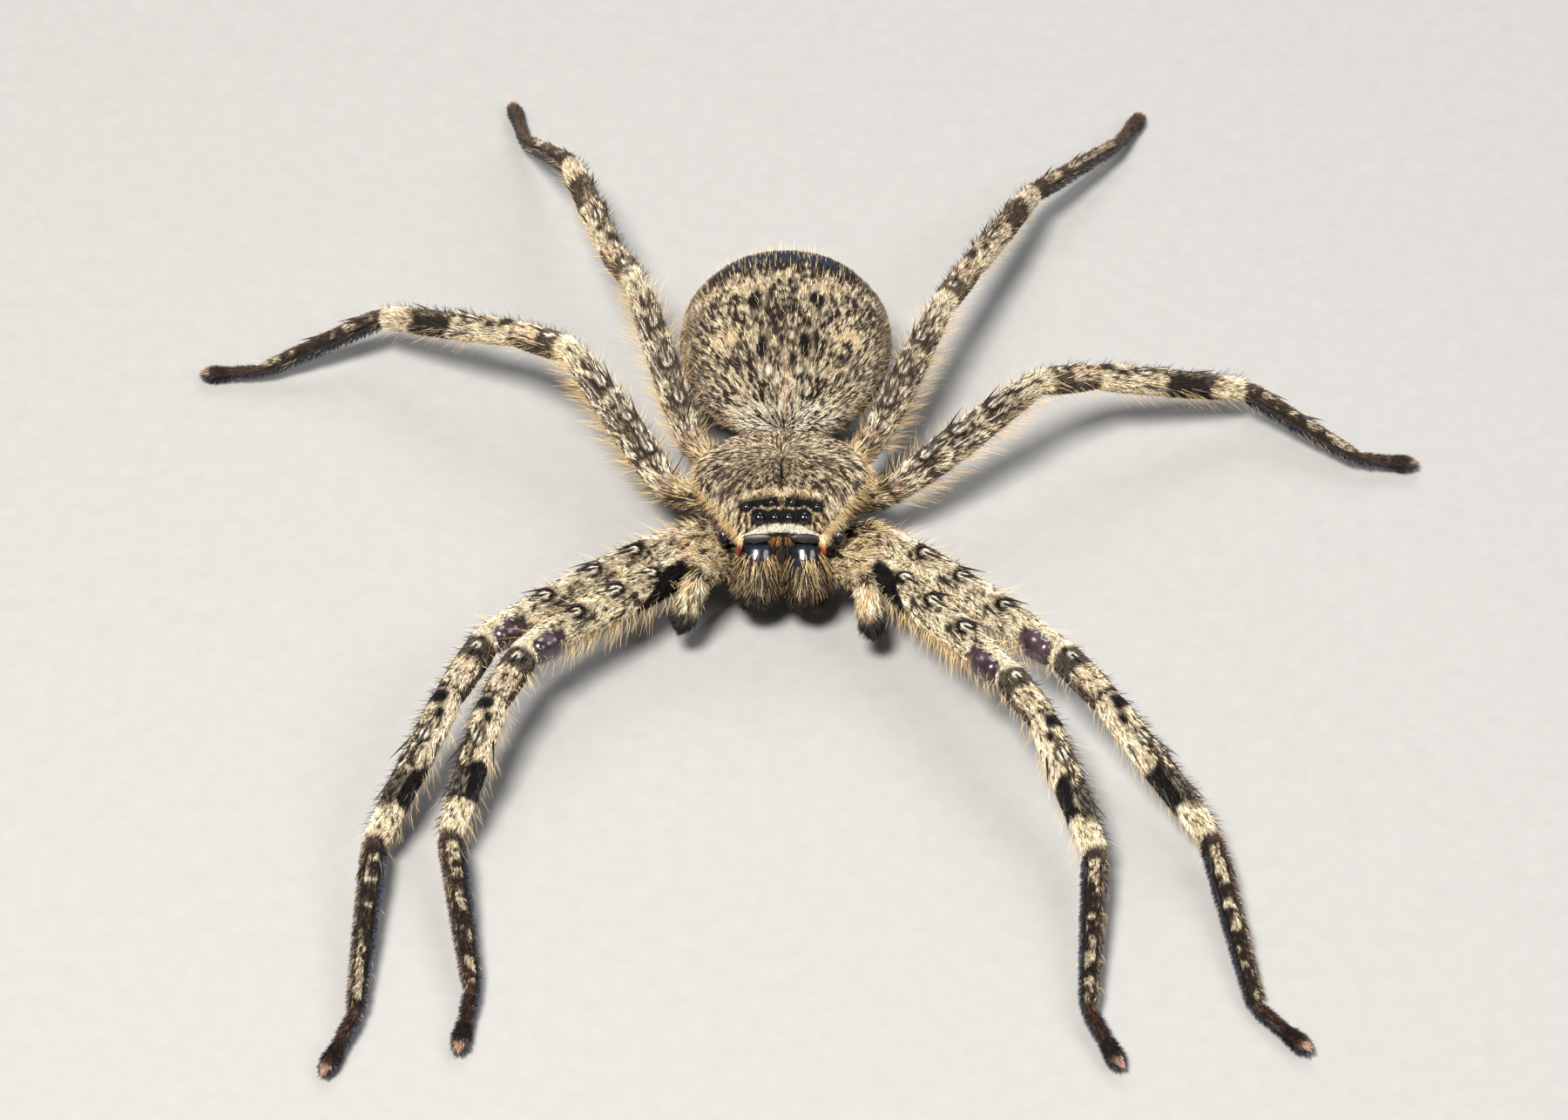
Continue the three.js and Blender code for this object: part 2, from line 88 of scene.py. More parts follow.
# Jaw's middle line of the left side, and its half widths across and along
JAW_LINE = ((1.3, -3.85, 5.3), (1.36, -4.55, 4.6), (1.4, -5.05, 3.6), (1.4, -5.3, 2.6), (1.36, -5.4, 1.95))
JAW_STATIONS = ((0, 0.85, 0.5), (0.35, 1.08, 0.85), (1, 1.2, 1.1), (2, 1.22, 1.16), (3, 1.16, 1.06),
                (3.6, 1.02, 0.9), (4, 0.8, 0.66))

# Fang and palp: joints on the left side, or on each side, then place along, half width and half height
FANG_LINE = ((1.3, -5.15, 1.6), (0.95, -4.75, 1.3), (0.5, -4.55, 1.35))
FANG_STATIONS = (((0, 0.34, 0.34), (1, 0.26, 0.26)),
                 ((0, 0.26, 0.26), (0.6, 0.16, 0.16), (1, 0.04, 0.04)))
PALP_ROOT = (3.0, -4.5, 3.6)
PALP_KNEE = {"left": (4.8, -6.3, 4.6), "right": (4.75, -5.9, 4.75)}
PALP_TIP = {"left": (5.25, -8.25, 2.3), "right": (5.75, -7.75, 2.25)}
PALP_STATIONS = (((0, 0.4, 0.42), (0.5, 0.5, 0.54), (0.75, 0.6, 0.64), (1, 0.54, 0.56)),
                 ((0, 0.54, 0.56), (0.2, 0.66, 0.66), (0.55, 0.66, 0.68), (0.85, 0.68, 0.7),
                  (0.97, 0.5, 0.52), (1.04, 0.2, 0.2)))

# Shape of each segment of a leg: place along, half width and half height
COXA_STATIONS = ((0, 0.6, 0.7), (0.2, 0.76, 0.9), (0.6, 0.95, 1.0), (0.82, 0.98, 1.0), (1, 0.9, 0.94))
FEMUR_STATIONS = ((0, 0.9, 0.94), (0.08, 1.02, 1.08), (0.25, 1.16, 1.26), (0.45, 1.18, 1.28),
                  (0.7, 1.08, 1.14), (0.9, 0.98, 1.02), (1, 0.84, 0.88))
PATELLA_STATIONS = ((0, 0.84, 0.88), (0.12, 0.94, 0.96), (0.3, 1.02, 1.02), (0.7, 1.02, 1.0),
                    (0.93, 0.96, 0.95), (1, 0.88, 0.88))
TIBIA_STATIONS = ((0, 0.88, 0.88), (0.08, 0.98, 0.98), (0.45, 1.0, 1.0), (0.8, 0.9, 0.92),
                  (0.95, 0.84, 0.86), (1, 0.7, 0.72))
METATARSUS_STATIONS = ((0, 0.66, 0.68), (0.08, 0.78, 0.76), (0.5, 0.72, 0.68), (0.93, 0.6, 0.58),
                       (1, 0.48, 0.48))
TARSUS_STATIONS = ((0, 0.46, 0.46), (0.12, 0.52, 0.52), (0.55, 0.48, 0.52), (0.8, 0.6, 0.62),
                   (0.95, 0.58, 0.6), (1.06, 0.34, 0.36))
SEGMENT_STATIONS = (COXA_STATIONS, FEMUR_STATIONS, PATELLA_STATIONS, TIBIA_STATIONS, METATARSUS_STATIONS,
                    TARSUS_STATIONS)
COXA, FEMUR, PATELLA, TIBIA, METATARSUS, TARSUS = range(6)
LEG_NODES = ("coxa", "femur", "tibia", "metatarsus", "tarsus")

# How a spinneret narrows: place along it and share of its thickness
SPINNERET_TAPER = ((0, 1.0), (0.7, 0.92), (0.96, 0.6))

# Spines: place along the segment, degrees round from the top towards the front, length
FEMUR_SPINES = ((0.25, 0, 2.1), (0.47, 0, 2.1), (0.72, 0, 2.0), (0.4, 48, 1.9), (0.66, 46, 1.8),
                (0.42, -36, 1.9), (0.68, -34, 1.8))
PATELLA_SPINES = ((0.36, 0, 1.4),)
TIBIA_SPINES = ((0.28, 0, 1.8), (0.3, 70, 1.8), (0.62, 62, 1.7), (0.34, -62, 1.8), (0.66, -58, 1.6))
METATARSUS_SPINES = ((0.14, 40, 1.5), (0.16, -50, 1.5), (0.5, -40, 1.3))
LEG_SPINES = {FEMUR: FEMUR_SPINES, PATELLA: PATELLA_SPINES, TIBIA: TIBIA_SPINES,
              METATARSUS: METATARSUS_SPINES}
SPINE_LEAN = 19.0

# The eyes sit in low mounds, a little under the solids' eyes, and a little smaller
EYE_SINK = 0.13
EYE_MOUND = 0.19
EYE_FIT = 0.97
REAR_SIDE_EYE_FIT = 0.8

# Points over and under each ring of the carapace, from rim to rim
ARCH_POINTS, UNDER_POINTS = 88, 22

# The groove in the middle of the carapace, and the three furrows on each side, in degrees from the rear
FOVEA_FRONT, FOVEA_REAR, FOVEA_HALF = -0.9, 1.3, 0.13
GROOVE_DEPTH, SLIT_DROP, FURROW_DEPTH = 0.32, 0.34, 0.1
FURROWS = (35, 72, 108)

# Bands across the face, by their place along the body
SLIT_FRONT, SLIT_REAR, SLIT_INNER, SLIT_OUTER = -2.84, -2.08, 0.46, 2.45
EYE_BAND_FRONT, EYE_BAND_REAR, EYE_BAND_HALF = -3.7, -3.1, 1.75
WHITE_FRONT, WHITE_REAR = -4.0, -3.74

# Where the hair of the carapace spreads from, along the body
HAIR_CENTRE = 1.8

# Dark marks on each half of the carapace: place across and along, half sizes, turn
CARAPACE_MARKS = ((1.25, 2.3, 0.42, 0.16, 0.3), (3.6, 0.4, 0.5, 0.14, -0.9), (2.9, 1.5, 0.3, 0.12, -0.4),
                  (4.3, -0.2, 0.3, 0.16, -1.0))

# Small sunk dark marks on the abdomen: place across and along from its middle, half width and half length
SIGILLA = ((-1.8, -0.1, 0.4, 0.72), (1.85, -0.1, 0.39, 0.7), (-1.38, -3.35, 0.29, 0.62),
           (1.12, -3.35, 0.31, 0.66), (-3.6, -1.0, 0.11, 0.26), (-2.6, -3.2, 0.09, 0.2))

# Bare parts of the face, for the left side: middle, then the half sizes along three directions
FACE_PLATE = ((1.48, -4.24, 5.93), (0, -0.1, 0.08), (0.9, 0.06, -0.14), (0, -0.17, -0.22))
SIDE_BALL = ((3.32, -3.1, 4.85), (0, 0, 0.52), (0.4, 0, 0), (0, 0.42, 0))
SIDE_STRIP = ((3.72, -2.25, 4.9), (0.5, 0.75, 0.05), (0.13, -0.1, 0), (0, 0, 0.2))
RED_STRIP = ((2.42, -4.3, 5.0), (0, -0.1, 0.62), (0.17, 0, 0), (0, 0.2, 0))
# A form between and behind the jaws for the mouth parts, very dark as painted shade there
MOUTH = ((0, -3.9, 3.3), (0, 0, 1.5), (1.7, 0, 0), (0, 0.75, 0))

# Marks of the legs, by share of the segment's length
FEMUR_PATCH = (0.03, 0.38)
PATELLA_BAND, PATELLA_SPOT = (0.2, 0.52), 0.34
TIBIA_BAND, TIBIA_SPOT, TIBIA_PALE_END = (0.47, 0.76), 0.31, 0.79
# How far the two rear pairs lean to taupe
REAR_LEG_TAUPE = {3: 0.14, 4: 0.28}
# Bare skin of the knee, in millimetres before and after the joint, and in degrees round the leg
KNEE_BEFORE, KNEE_AFTER, KNEE_ROUND = 2.0, 0.47, (30, 168)

# How many tufts each part of the coat has
LEG_TUFTS = {1: 25000, 2: 25000, 3: 21500, 4: 21500}
CARAPACE_TUFTS, ABDOMEN_HALF_TUFTS, STERNUM_TUFTS = 28000, 34000, 5000
JAW_TUFTS, PALP_TUFTS, SPINNERET_TUFTS = 2600, 4200, 700

# Tufts of the legs, from coxa to tarsus: length, width and lift from the skin in degrees
LEG_TUFT_LENGTHS = (0.5, 0.42, 0.38, 0.42, 0.36, 0.34)
LEG_TUFT_WIDTHS = (0.078, 0.068, 0.064, 0.064, 0.056, 0.056)
LEG_TUFT_LIFTS = (24, 13, 13, 14, 15, 22)
SOLE_LENGTH, SOLE_LIFT, SOLE_DEGREES = 0.3, 48, 66

# Share of the tufts in a quick trial, and the fewest that a part keeps
QUICK_SHARE, FEWEST_TUFTS = 0.3, 200

# Seeds of the random draws
LEG_SEED, CARAPACE_SEED, ABDOMEN_SEED, FACE_SEED, UNDERSIDE_SEED = 100, 300, 400, 500, 520
SPINE_SEED, FRINGE_SEED, BODY_HAIR_SEED, JAW_BRISTLE_SEED, FACE_TUFT_SEED = 600, 700, 720, 740, 760

# Each tuft is a small patch of the bake map, round the place of its root
TUFT_PATCH = np.array([[-0.0012, -0.0012], [0.0012, -0.0012], [0.0, 0.0004], [0.0, 0.0016]])
SPIKE_PATCH = 0.0014

# Faces of a tuft, by its points: left and right of the root, crest and tip
TUFT_FACES = np.array([[0, 1, 2], [1, 3, 2], [3, 0, 2], [0, 3, 1]])

# Tufts paler than this carry no dark hairs between them
CLEAN_WHITE = 0.78

# Tips of hairs stay above the floor and near the top of the solids
LOWEST_TIP, HIGHEST_TIP = 0.1, 9.6

# Long hairs of the legs: segment, how many, degrees round, spread, least and most lean, length, thickness
GOLDEN_FRINGE = ((FEMUR, 210, (118, 130, 142, -120), 12, (35, 70), 1.5, 0.027),
                 (FEMUR, 110, (-60, -85, 70, 95), 16, (30, 75), 1.3, 0.026),
                 (PATELLA, 50, (120, 80, -110), 20, (35, 75), 1.0, 0.032),
                 (TIBIA, 110, (118, 135, 90, -120), 16, (30, 68), 1.2, 0.026),
                 (METATARSUS, 60, (100, -95, -60), 18, (30, 60), 0.7, 0.03))
DARK_BRISTLES = ((FEMUR, 60, (-45, -70, 20), 22, (40, 75), 0.6, 0.045),
                 (PATELLA, 50, (-60, -80, -40), 18, (40, 75), 0.55, 0.05),
                 (TIBIA, 130, (-62, -80, -45), 14, (40, 75), 0.6, 0.05),
                 (METATARSUS, 90, (-50, 15, 60), 26, (20, 55), 0.4, 0.045),
                 (TARSUS, 50, (-60, 0, 60), 30, (20, 50), 0.3, 0.04),
                 (COXA, 40, (-60, 0, 60), 40, (40, 80), 0.7, 0.045))
COXA_FRINGE = (COXA, 130, (-60, -30, 0, 30, 60), 20, (35, 80), 0.75, 0.045)
REAR_FEMUR_FRINGE = 1.25

# Stiff bristles that stand up from the rear thighs: leg, share of the femur, degrees round, length
ERECT_BRISTLES = ((4, 0.06, 15, 1.9), (4, 0.16, -15, 1.5), (3, 0.05, -30, 1.8))

# Lamps: name, place and size in metres, watts, colour
LAMPS = (("key", (-0.1, -0.14, 0.4), 0.14, 4.3, (1.0, 0.97, 0.92)),
         ("fill", (0.26, -0.1, 0.26), 0.2, 0.6, (0.94, 0.97, 1.0)),
         ("back", (0.05, 0.3, 0.24), 0.2, 0.7, (1.0, 1.0, 1.0)))
LAMP_AIM = (0, 0, 0.004)
ROOM_LIGHT = 0.2
FLOOR_REACH = 1.2
FLOOR_TONES = ((0.27, 0.265, 0.258, 1), (0.31, 0.305, 0.298, 1))

# Camera, set from the photo's view of the body
CAMERA_RISE = 46.0
CAMERA_DISTANCE = 330.0
CAMERA_LENS = 132.0
CAMERA_AIM = np.array([0.15, -5.05, 5.0])


def linear(red, green, blue):
    """A colour picked on the screen, 0 to 255, as linear light."""
    value = np.array([red, green, blue], float) / 255
    return np.where(value <= 0.04045, value / 12.92, ((value + 0.055) / 1.055) ** 2.4)


CREAM = linear(228, 208, 172)
PALE = linear(238, 224, 194)
WHITE_HAIR = linear(246, 236, 214)
STRAW = linear(204, 172, 118)
GREY = linear(136, 121, 100)
ASH = linear(124, 117, 106)
TAUPE = linear(112, 94, 76)
BROWN = linear(64, 48, 38)
DARK = linear(30, 24, 22)
BLACK = linear(10, 9, 11)
PINK = linear(204, 164, 142)
GOLD = linear(212, 170, 84)
RUST = linear(150, 76, 34)
SLATE = linear(66, 72, 84)
NIGHT_BLUE = linear(38, 48, 66)
PURPLE = linear(66, 48, 58)


# Noise and blending on arrays of points

def lattice_value(cell, seed):
    """A repeatable number from 0 to 1 for each whole-number cell."""
    whole = cell.astype(np.int64)
    mixed = (whole[..., 0] * 73856093 ^ whole[..., 1] * 19349663 ^ whole[..., 2] * 83492791
             ^ seed * 2654435761)
    mixed = (mixed ^ (mixed >> 13)) * 1274126177
    mixed = mixed ^ (mixed >> 16)
    return (mixed & 0xFFFFFF) / float(0xFFFFFF)


def noise(points, grain, seed=0):
    """Smooth noise from 0 to 1 on points in millimetres. Grain is the size of its features."""
    place = points / grain
    low = np.floor(place)
    part = place - low
    part = part * part * (3 - 2 * part)
    total = np.zeros(len(points))
    for corner in range(8):
        step = np.array([corner & 1, (corner >> 1) & 1, (corner >> 2) & 1], float)
        weight = np.prod(np.where(step > 0, part, 1 - part), axis=1)
        total += weight * lattice_value(low + step, seed)
    return total


def layered_noise(points, grain, seed=0, layers=3):
    total = np.zeros(len(points))
    for layer in range(layers):
        total += noise(points, grain / 2 ** layer, seed + 17 * layer) / 2 ** layer
    return total / sum(1 / 2 ** layer for layer in range(layers))


def flecks(places, seed):
    """Noise spread evenly over 0 to 1, on places already divided by the size of a fleck."""
    value = 0.68 * noise(places, 1.0, seed) + 0.32 * noise(places, 0.45, seed + 5)
    return 1 / (1 + np.exp(-1.7 * (value - 0.5) / 0.15))


def ramp(value, low, high):
    """0 below low, 1 above high, smooth between."""
    part = np.clip((value - low) / (high - low), 0, 1)
    return part * part * (3 - 2 * part)


def mix(under, over, share):
    """Colours with others laid over them, by the share at each place."""
    return under + (over - under) * np.clip(share, 0, 1)[:, None]


def band(value, low, high, soft):
    """1 between low and high, with soft edges."""
    return ramp(value, low - soft, low + soft) * (1 - ramp(value, high - soft, high + soft))


def mottled(base, value, dark_share, light_share, dark, light, soft=0.06):
    """Base colour with the darkest share of the flecks dark and the lightest share light."""
    colour = mix(base, dark, 1 - ramp(value, dark_share - soft, dark_share + soft))
    return mix(colour, light, ramp(value, 1 - light_share - soft, 1 - light_share + soft))


def blend(under, over, share):
    """One colour between two."""
    return under + (over - under) * share


def on_both_sides(point, side):
    """A place of the left side, or its mirror place."""
    return np.array(point) * np.array([side, 1, 1])


def signed_degrees(u):
    """Degrees round a sleeve from its top, forward positive, from -180 to 180."""
    return (u * 360 + 180) % 360 - 180


def unit(vectors):
    return vectors / np.maximum(np.linalg.norm(vectors, axis=-1, keepdims=True), 1e-9)


# Surfaces: a closed sleeve of rings, with a place on it for every marking and hair

class Sleeve:
    """Rings of points round a middle line. u runs round each ring and v along the rings."""

    def __init__(self, points, tile, about=None):
        self.points = points
        self.tile = tile
        self.about = about or {}
        self.rings, self.around = points.shape[:2]
        following = np.roll(points, -1, axis=1) - np.roll(points, 1, axis=1)
        along = np.gradient(points, axis=0)
        normal = unit(np.cross(following, along))
        middle = points.mean(axis=1, keepdims=True)
        if np.sum(normal * (points - middle)) < 0:
            normal = -normal
        self.normals = normal
        self.along = unit(along)

    def on_tile(self, tile):
        """The same sleeve with another place on the unwrap."""
        return Sleeve(self.points, tile, self.about)

    def tile_place(self, u, v):
        left, low, wide, high = self.tile
        return np.stack([left + wide * (0.03 + 0.94 * u), low + high * (0.03 + 0.94 * v)], axis=-1)

    def faces(self, first):
        rings, around = self.rings, self.around
        r, s = np.meshgrid(np.arange(rings - 1), np.arange(around), indexing="ij")
        a = first + r * around + s
        b = first + r * around + (s + 1) % around
        return np.stack([a, b, b + around, a + around], axis=-1).reshape(-1, 4)

    def sample(self, count, draw, weight=None):
        """Random places on the surface: position, normal, lie, u and v."""
        p = self.points
        beside = np.roll(p, -1, axis=1)
        area = np.linalg.norm(np.cross(beside[:-1] - p[:-1], p[1:] - p[:-1]), axis=2)
        u_cell = np.broadcast_to((np.arange(self.around) + 0.5) / self.around, area.shape)
        v_cell = np.broadcast_to(((np.arange(self.rings - 1) + 0.5) / (self.rings - 1))[:, None], area.shape)
        chance = area.copy()
        if weight is not None:
            middle = (p[:-1] + p[1:]) / 2
            chance = chance * weight(u_cell, v_cell, middle)
        chance = chance.ravel() / chance.sum()
        cell = draw.choice(chance.size, size=count, p=chance)
        r, s = np.divmod(cell, self.around)
        a, b = draw.random(count), draw.random(count)
        s_next = (s + 1) % self.around

        def spread(grid):
            a1, b1 = a[:, None], b[:, None]
            return ((grid[r, s] * (1 - a1) + grid[r, s_next] * a1) * (1 - b1)
                    + (grid[r + 1, s] * (1 - a1) + grid[r + 1, s_next] * a1) * b1)

        u = ((s + a) / self.around) % 1.0
        v = (r + b) / (self.rings - 1)
        return spread(p), unit(spread(self.normals)), unit(spread(self.along)), u, v


def station_widths(stations, places):
    table = np.array(stations, float)
    return np.interp(places, table[:, 0], table[:, 1]), np.interp(places, table[:, 0], table[:, 2])


def leg_joints(side_name, number):
    side = SIDES[side_name]
    joints = [on_both_sides(point, side) for point in LEG_ROOTS[number]]
    for i, length in enumerate(LEG_LENGTHS[number]):
        start = joints[-1]
        if i < 4:
            climb = math.sin(math.radians(RISE[side_name, number][i]))
        else:
            climb = (FOOT_HEIGHT - start[2]) / length
        level = math.sqrt(1 - climb * climb)
        turn = math.radians(HEADING[side_name, number][i])
        step = np.array([side * level * math.cos(turn), level * math.sin(turn), climb])
        joints.append(start + step * length)
    return joints


def sleeve_along(joints, stations_list, side, tile, thick=1.0, depth=COAT_DEPTH, step=0.21,
                 around=32, soft=0.4, sunk=0.0, floor=None):
    """A round sleeve along joints. Every ring knows its segment and its share of that segment."""
    lengths = [np.linalg.norm(b - a) for a, b in zip(joints, joints[1:])]
    starts = np.concatenate([[0], np.cumsum(lengths)])
    segment, share = [], []
    for i, length in enumerate(lengths):
        count = max(4, int(round(length / step)))
        last_share = max(1.0, stations_list[i][-1][0])
        places = np.linspace(0, last_share, count, endpoint=(i == len(lengths) - 1))
        if i == 0 and sunk > 0:
            places = np.concatenate([[-sunk / length], places])
        segment += [i] * len(places)
        share += list(places)
    segment, share = np.array(segment), np.array(share)
    distance = starts[segment] + share * np.array(lengths)[segment]

    def line(s):
        s = np.asarray(s, float)
        piece = np.clip(np.searchsorted(starts, s, side="right") - 1, 0, len(lengths) - 1)
        part = (s - starts[piece]) / np.array(lengths)[piece]
        a = np.array(joints)[piece]
        b = np.array(joints)[piece + 1]
        return a + (b - a) * part[:, None]

    offsets = np.linspace(-soft, soft, 9)
    centre = np.mean([line(distance + o) for o in offsets], axis=0)
    ahead = unit(line(distance + soft) - line(distance - soft))
    wide = unit(np.cross(ahead, UP))
    high = unit(np.cross(wide, ahead))
    front = wide * side
    half_wide, half_high = np.zeros(len(distance)), np.zeros(len(distance))
    for i, stations in enumerate(stations_list):
        here = segment == i
        half_wide[here], half_high[here] = station_widths(stations, share[here])
    half_wide = half_wide * thick - depth
    half_high = half_high * thick - depth
    turn = np.arange(around) / around * 2 * np.pi
    points = (centre[:, None, :]
              + high[:, None, :] * (half_high[:, None] * np.cos(turn))[..., None]
              + front[:, None, :] * (half_wide[:, None] * np.sin(turn))[..., None])
    if floor is not None:
        points[..., 2] = np.maximum(points[..., 2], floor)
    about = {"segment": segment, "share": share, "distance": distance, "lengths": lengths,
             "radius": (half_wide + half_high) / 2, "centre": centre, "ahead": ahead, "front": front,
             "high": high}
    return Sleeve(points, tile, about)


def on_sleeve(sleeve, v):
    """Segment, share, the segment's length and the sleeve's radius at places v along a sleeve."""
    row = np.clip(v, 0, 1) * (sleeve.rings - 1)
    low = np.minimum(np.floor(row).astype(int), sleeve.rings - 2)
    part = row - low
    about = sleeve.about
    segment = about["segment"][low]
    same = about["segment"][low + 1] == segment
    next_share = np.where(same, about["share"][low + 1], 1.0)
    share = about["share"][low] * (1 - part) + next_share * part
    return segment, share, np.array(about["lengths"])[segment], about["radius"][low]


def build_leg_sleeve(side_name, number, tile):
    return sleeve_along(leg_joints(side_name, number), SEGMENT_STATIONS, SIDES[side_name], tile,
                        thick=LEG_THICK[number], sunk=0.6, floor=0.05)


def carapace_sleeve(tile):
    table = np.array(CARAPACE)
    along = np.concatenate([np.linspace(table[0, 0], -2.2, 42), np.linspace(-2.15, table[-1, 0], 78)])
    kernel = np.ones(7) / 7

    def smoothed(column):
        line = np.interp(along, table[:, 0], table[:, column])
        return np.convolve(np.pad(line, 3, mode="edge"), kernel, mode="valid")

    half = smoothed(1) * CARAPACE_WIDTH / 2 - COAT_DEPTH
    ridge = smoothed(2) - COAT_DEPTH
    rim = smoothed(3)
    turn = np.linspace(0, np.pi, ARCH_POINTS + 1)
    under = -1 + 2 * np.arange(1, UNDER_POINTS) / UNDER_POINTS
    rings = []
    for y, h, top, low in zip(along, half, ridge, rim):
        x = np.concatenate([h * np.cos(turn), h * under])
        z = np.concatenate([low + (top - low) * np.sin(turn) ** 0.8, low - 0.06 * (1 - under ** 2)])
        rings.append(np.stack([x, np.full_like(x, y), z], axis=1))
    return Sleeve(shape_carapace(np.array(rings)), tile)


def shape_carapace(points):
    """Sinks the middle groove, eye slits and shallow furrows into the dome, and raises the eyes."""
    x, y, z = points[..., 0], points[..., 1], points[..., 2]
    drop = GROOVE_DEPTH * np.exp(-(x / 0.16) ** 2) * band(y, FOVEA_FRONT, FOVEA_REAR, 0.25)
    for lean in np.radians(FURROWS):
        for side in SIDES.values():
            fx, fy = side * math.sin(lean), math.cos(lean)
            out = x * fx + (y - 0.8) * fy
            off = x * fy - (y - 0.8) * fx
            drop = drop + FURROW_DEPTH * np.exp(-(off / 0.35) ** 2) * band(out, 1.2, 3.8, 0.6)
    drop = drop + SLIT_DROP * slit_depth(np.abs(x), y)
    mound = np.zeros(x.shape)
    for place in EYES.values():
        away = np.hypot(np.abs(x) - place[0], y - place[1])
        mound = np.maximum(mound, np.exp(-(away / (place[3] + 0.12)) ** 4))
    drop = drop * (1 - mound) - EYE_MOUND * mound
    points = points.copy()
    points[..., 2] = z - drop * (z > 5.3)
    return points


def fovea(x, y):
    """1 along the thin dark groove in the middle of the carapace."""
    return np.exp(-(x / FOVEA_HALF) ** 2) * band(y, FOVEA_FRONT, FOVEA_REAR, 0.12)


def slit_depth(across, y):
    """1 inside the dark slit that runs out from each rear middle eye."""
    return band(across, SLIT_INNER, SLIT_OUTER, 0.1) * band(y, SLIT_FRONT, SLIT_REAR, 0.06)


def abdomen_sleeve(tile):
    rings, around = 112, 120
    turn = (0.012 + 0.976 * np.arange(rings) / (rings - 1)) * np.pi
    along = -np.cos(turn)
    swell = np.sin(turn) * (1 + 0.07 * along)
    half = ABDOMEN_HALF - ABDOMEN_COAT_DEPTH
    y = ABDOMEN_CENTRE[1] + half[1] * along
    angle = np.arange(around) / around * 2 * np.pi
    x = ABDOMEN_CENTRE[0] + half[0] * swell[:, None] * np.sin(angle)
    z = ABDOMEN_CENTRE[2] + half[2] * swell[:, None] * np.cos(angle) - 0.25 * (along ** 2)[:, None]
    points = np.stack([x, np.broadcast_to(y[:, None], x.shape), z], axis=-1)
    flat = points.reshape(-1, 3)
    lump = (layered_noise(flat, 2.4, 5) - 0.5) * 0.16
    sink = np.zeros(len(flat))
    local = flat - ABDOMEN_CENTRE
    for place_x, place_y, wide, long in SIGILLA:
        d = ((local[:, 0] - place_x) / (wide * 1.6)) ** 2 + ((local[:, 1] - place_y) / (long * 1.4)) ** 2
        sink += np.exp(-d) * (local[:, 2] > 1) * 0.16
    sleeve = Sleeve(points, tile)
    moved = flat + sleeve.normals.reshape(-1, 3) * (lump - sink)[:, None]
    return Sleeve(moved.reshape(points.shape), tile)


def sternum_sleeve(tile):
    table = np.array(STERNUM)
    along = np.linspace(table[0, 0], table[-1, 0], 44)
    half = np.interp(along, table[:, 0], table[:, 1]) - 0.1
    rim_table = np.array(CARAPACE)
    top = np.interp(along, rim_table[:, 0], rim_table[:, 3]) + 0.1
    under = 2.1 + 0.08 * (along - 0.5) ** 2 + 0.12
    middle = (top + under) / 2
    angle = np.arange(40) / 40 * 2 * np.pi
    x = half[:, None] * np.sin(angle)
    z = middle[:, None] + ((top - under) / 2)[:, None] * np.cos(angle)
    points = np.stack([x, np.broadcast_to(along[:, None], x.shape), z], axis=-1)
    return Sleeve(points, tile)


def stalk_sleeve(tile):
    joints = [np.array([0.0, 4.0, 3.9]), np.array([0.1, 7.2, 4.2])]
    stations = [((0, 0.5, 0.45), (0.5, 0.65, 0.6), (1, 0.9, 0.9))]
    return sleeve_along(joints, stations, 1, tile, depth=0.1, around=24)


def spinneret_sleeves(tiles):
    """Four small fingers in two pairs, and the hub that they grow from."""
    back = ABDOMEN_CENTRE[1] + ABDOMEN_HALF[1]
    middle = np.array([ABDOMEN_CENTRE[0], back - 0.08, 3.4])
    made = []
    for across in (-1, 1):
        for up, length, thick in ((1, 1.0, 0.34), (-1, 1.1, 0.38)):
            joints = [middle + np.array([across * 0.5, -0.9, up * 0.5]),
                      middle + np.array([across * 0.85, 0.1 + length, up * 0.8])]
            stations = [tuple((place, thick * share, thick * share) for place, share in SPINNERET_TAPER)]
            stations[0] += ((1, 0.1, 0.1),)
            made.append(sleeve_along(joints, stations, 1, tiles[len(made)], depth=0.06, around=20, step=0.1,
                                     soft=0.05))
    hub = [middle - np.array([0, 1.1, 0]), middle + np.array([0, 0.55, 0])]
    stations = [((0, 0.9, 0.8), (0.7, 0.85, 0.75), (1, 0.5, 0.45))]
    made.append(sleeve_along(hub, stations, 1, tiles[len(made)], depth=0.06, around=24,
                             step=0.12, soft=0.05))
    return made


def jaw_sleeve(side_name, tile):
    joints = [on_both_sides(point, SIDES[side_name]) for point in JAW_LINE]
    stations_list = []
    for i in range(4):
        places = [0] + [s[0] - i for s in JAW_STATIONS if i < s[0] < i + 1] + [1]
        wide, high = station_widths(JAW_STATIONS, [i + p for p in places])
        stations_list.append(tuple(zip(places, wide, high)))
    return sleeve_along(joints, stations_list, SIDES[side_name], tile, depth=0.14,
                        step=0.1, around=44, soft=0.5)


def palp_sleeve(side_name, tile):
    line = (PALP_ROOT, PALP_KNEE[side_name], PALP_TIP[side_name])
    joints = [on_both_sides(point, SIDES[side_name]) for point in line]
    joints[0] = joints[0] + (joints[0] - joints[1]) * 0.35
    return sleeve_along(joints, PALP_STATIONS, SIDES[side_name], tile, depth=0.05,
                        step=0.1, soft=0.3)


# Markings: one colour for each place, shared by the skin and the coat

def sleeve_flecks(sleeve, u, v, wide, long, seed):
    """Flecks drawn out along a sleeve."""
    distance = np.interp(v * (sleeve.rings - 1), np.arange(sleeve.rings), sleeve.about["distance"])
    turn = (u + 0.5) % 1.0 * 2 * np.pi
    return flecks(np.stack([turn / wide, distance / long, np.full(len(u), 0.5)], axis=1), seed)


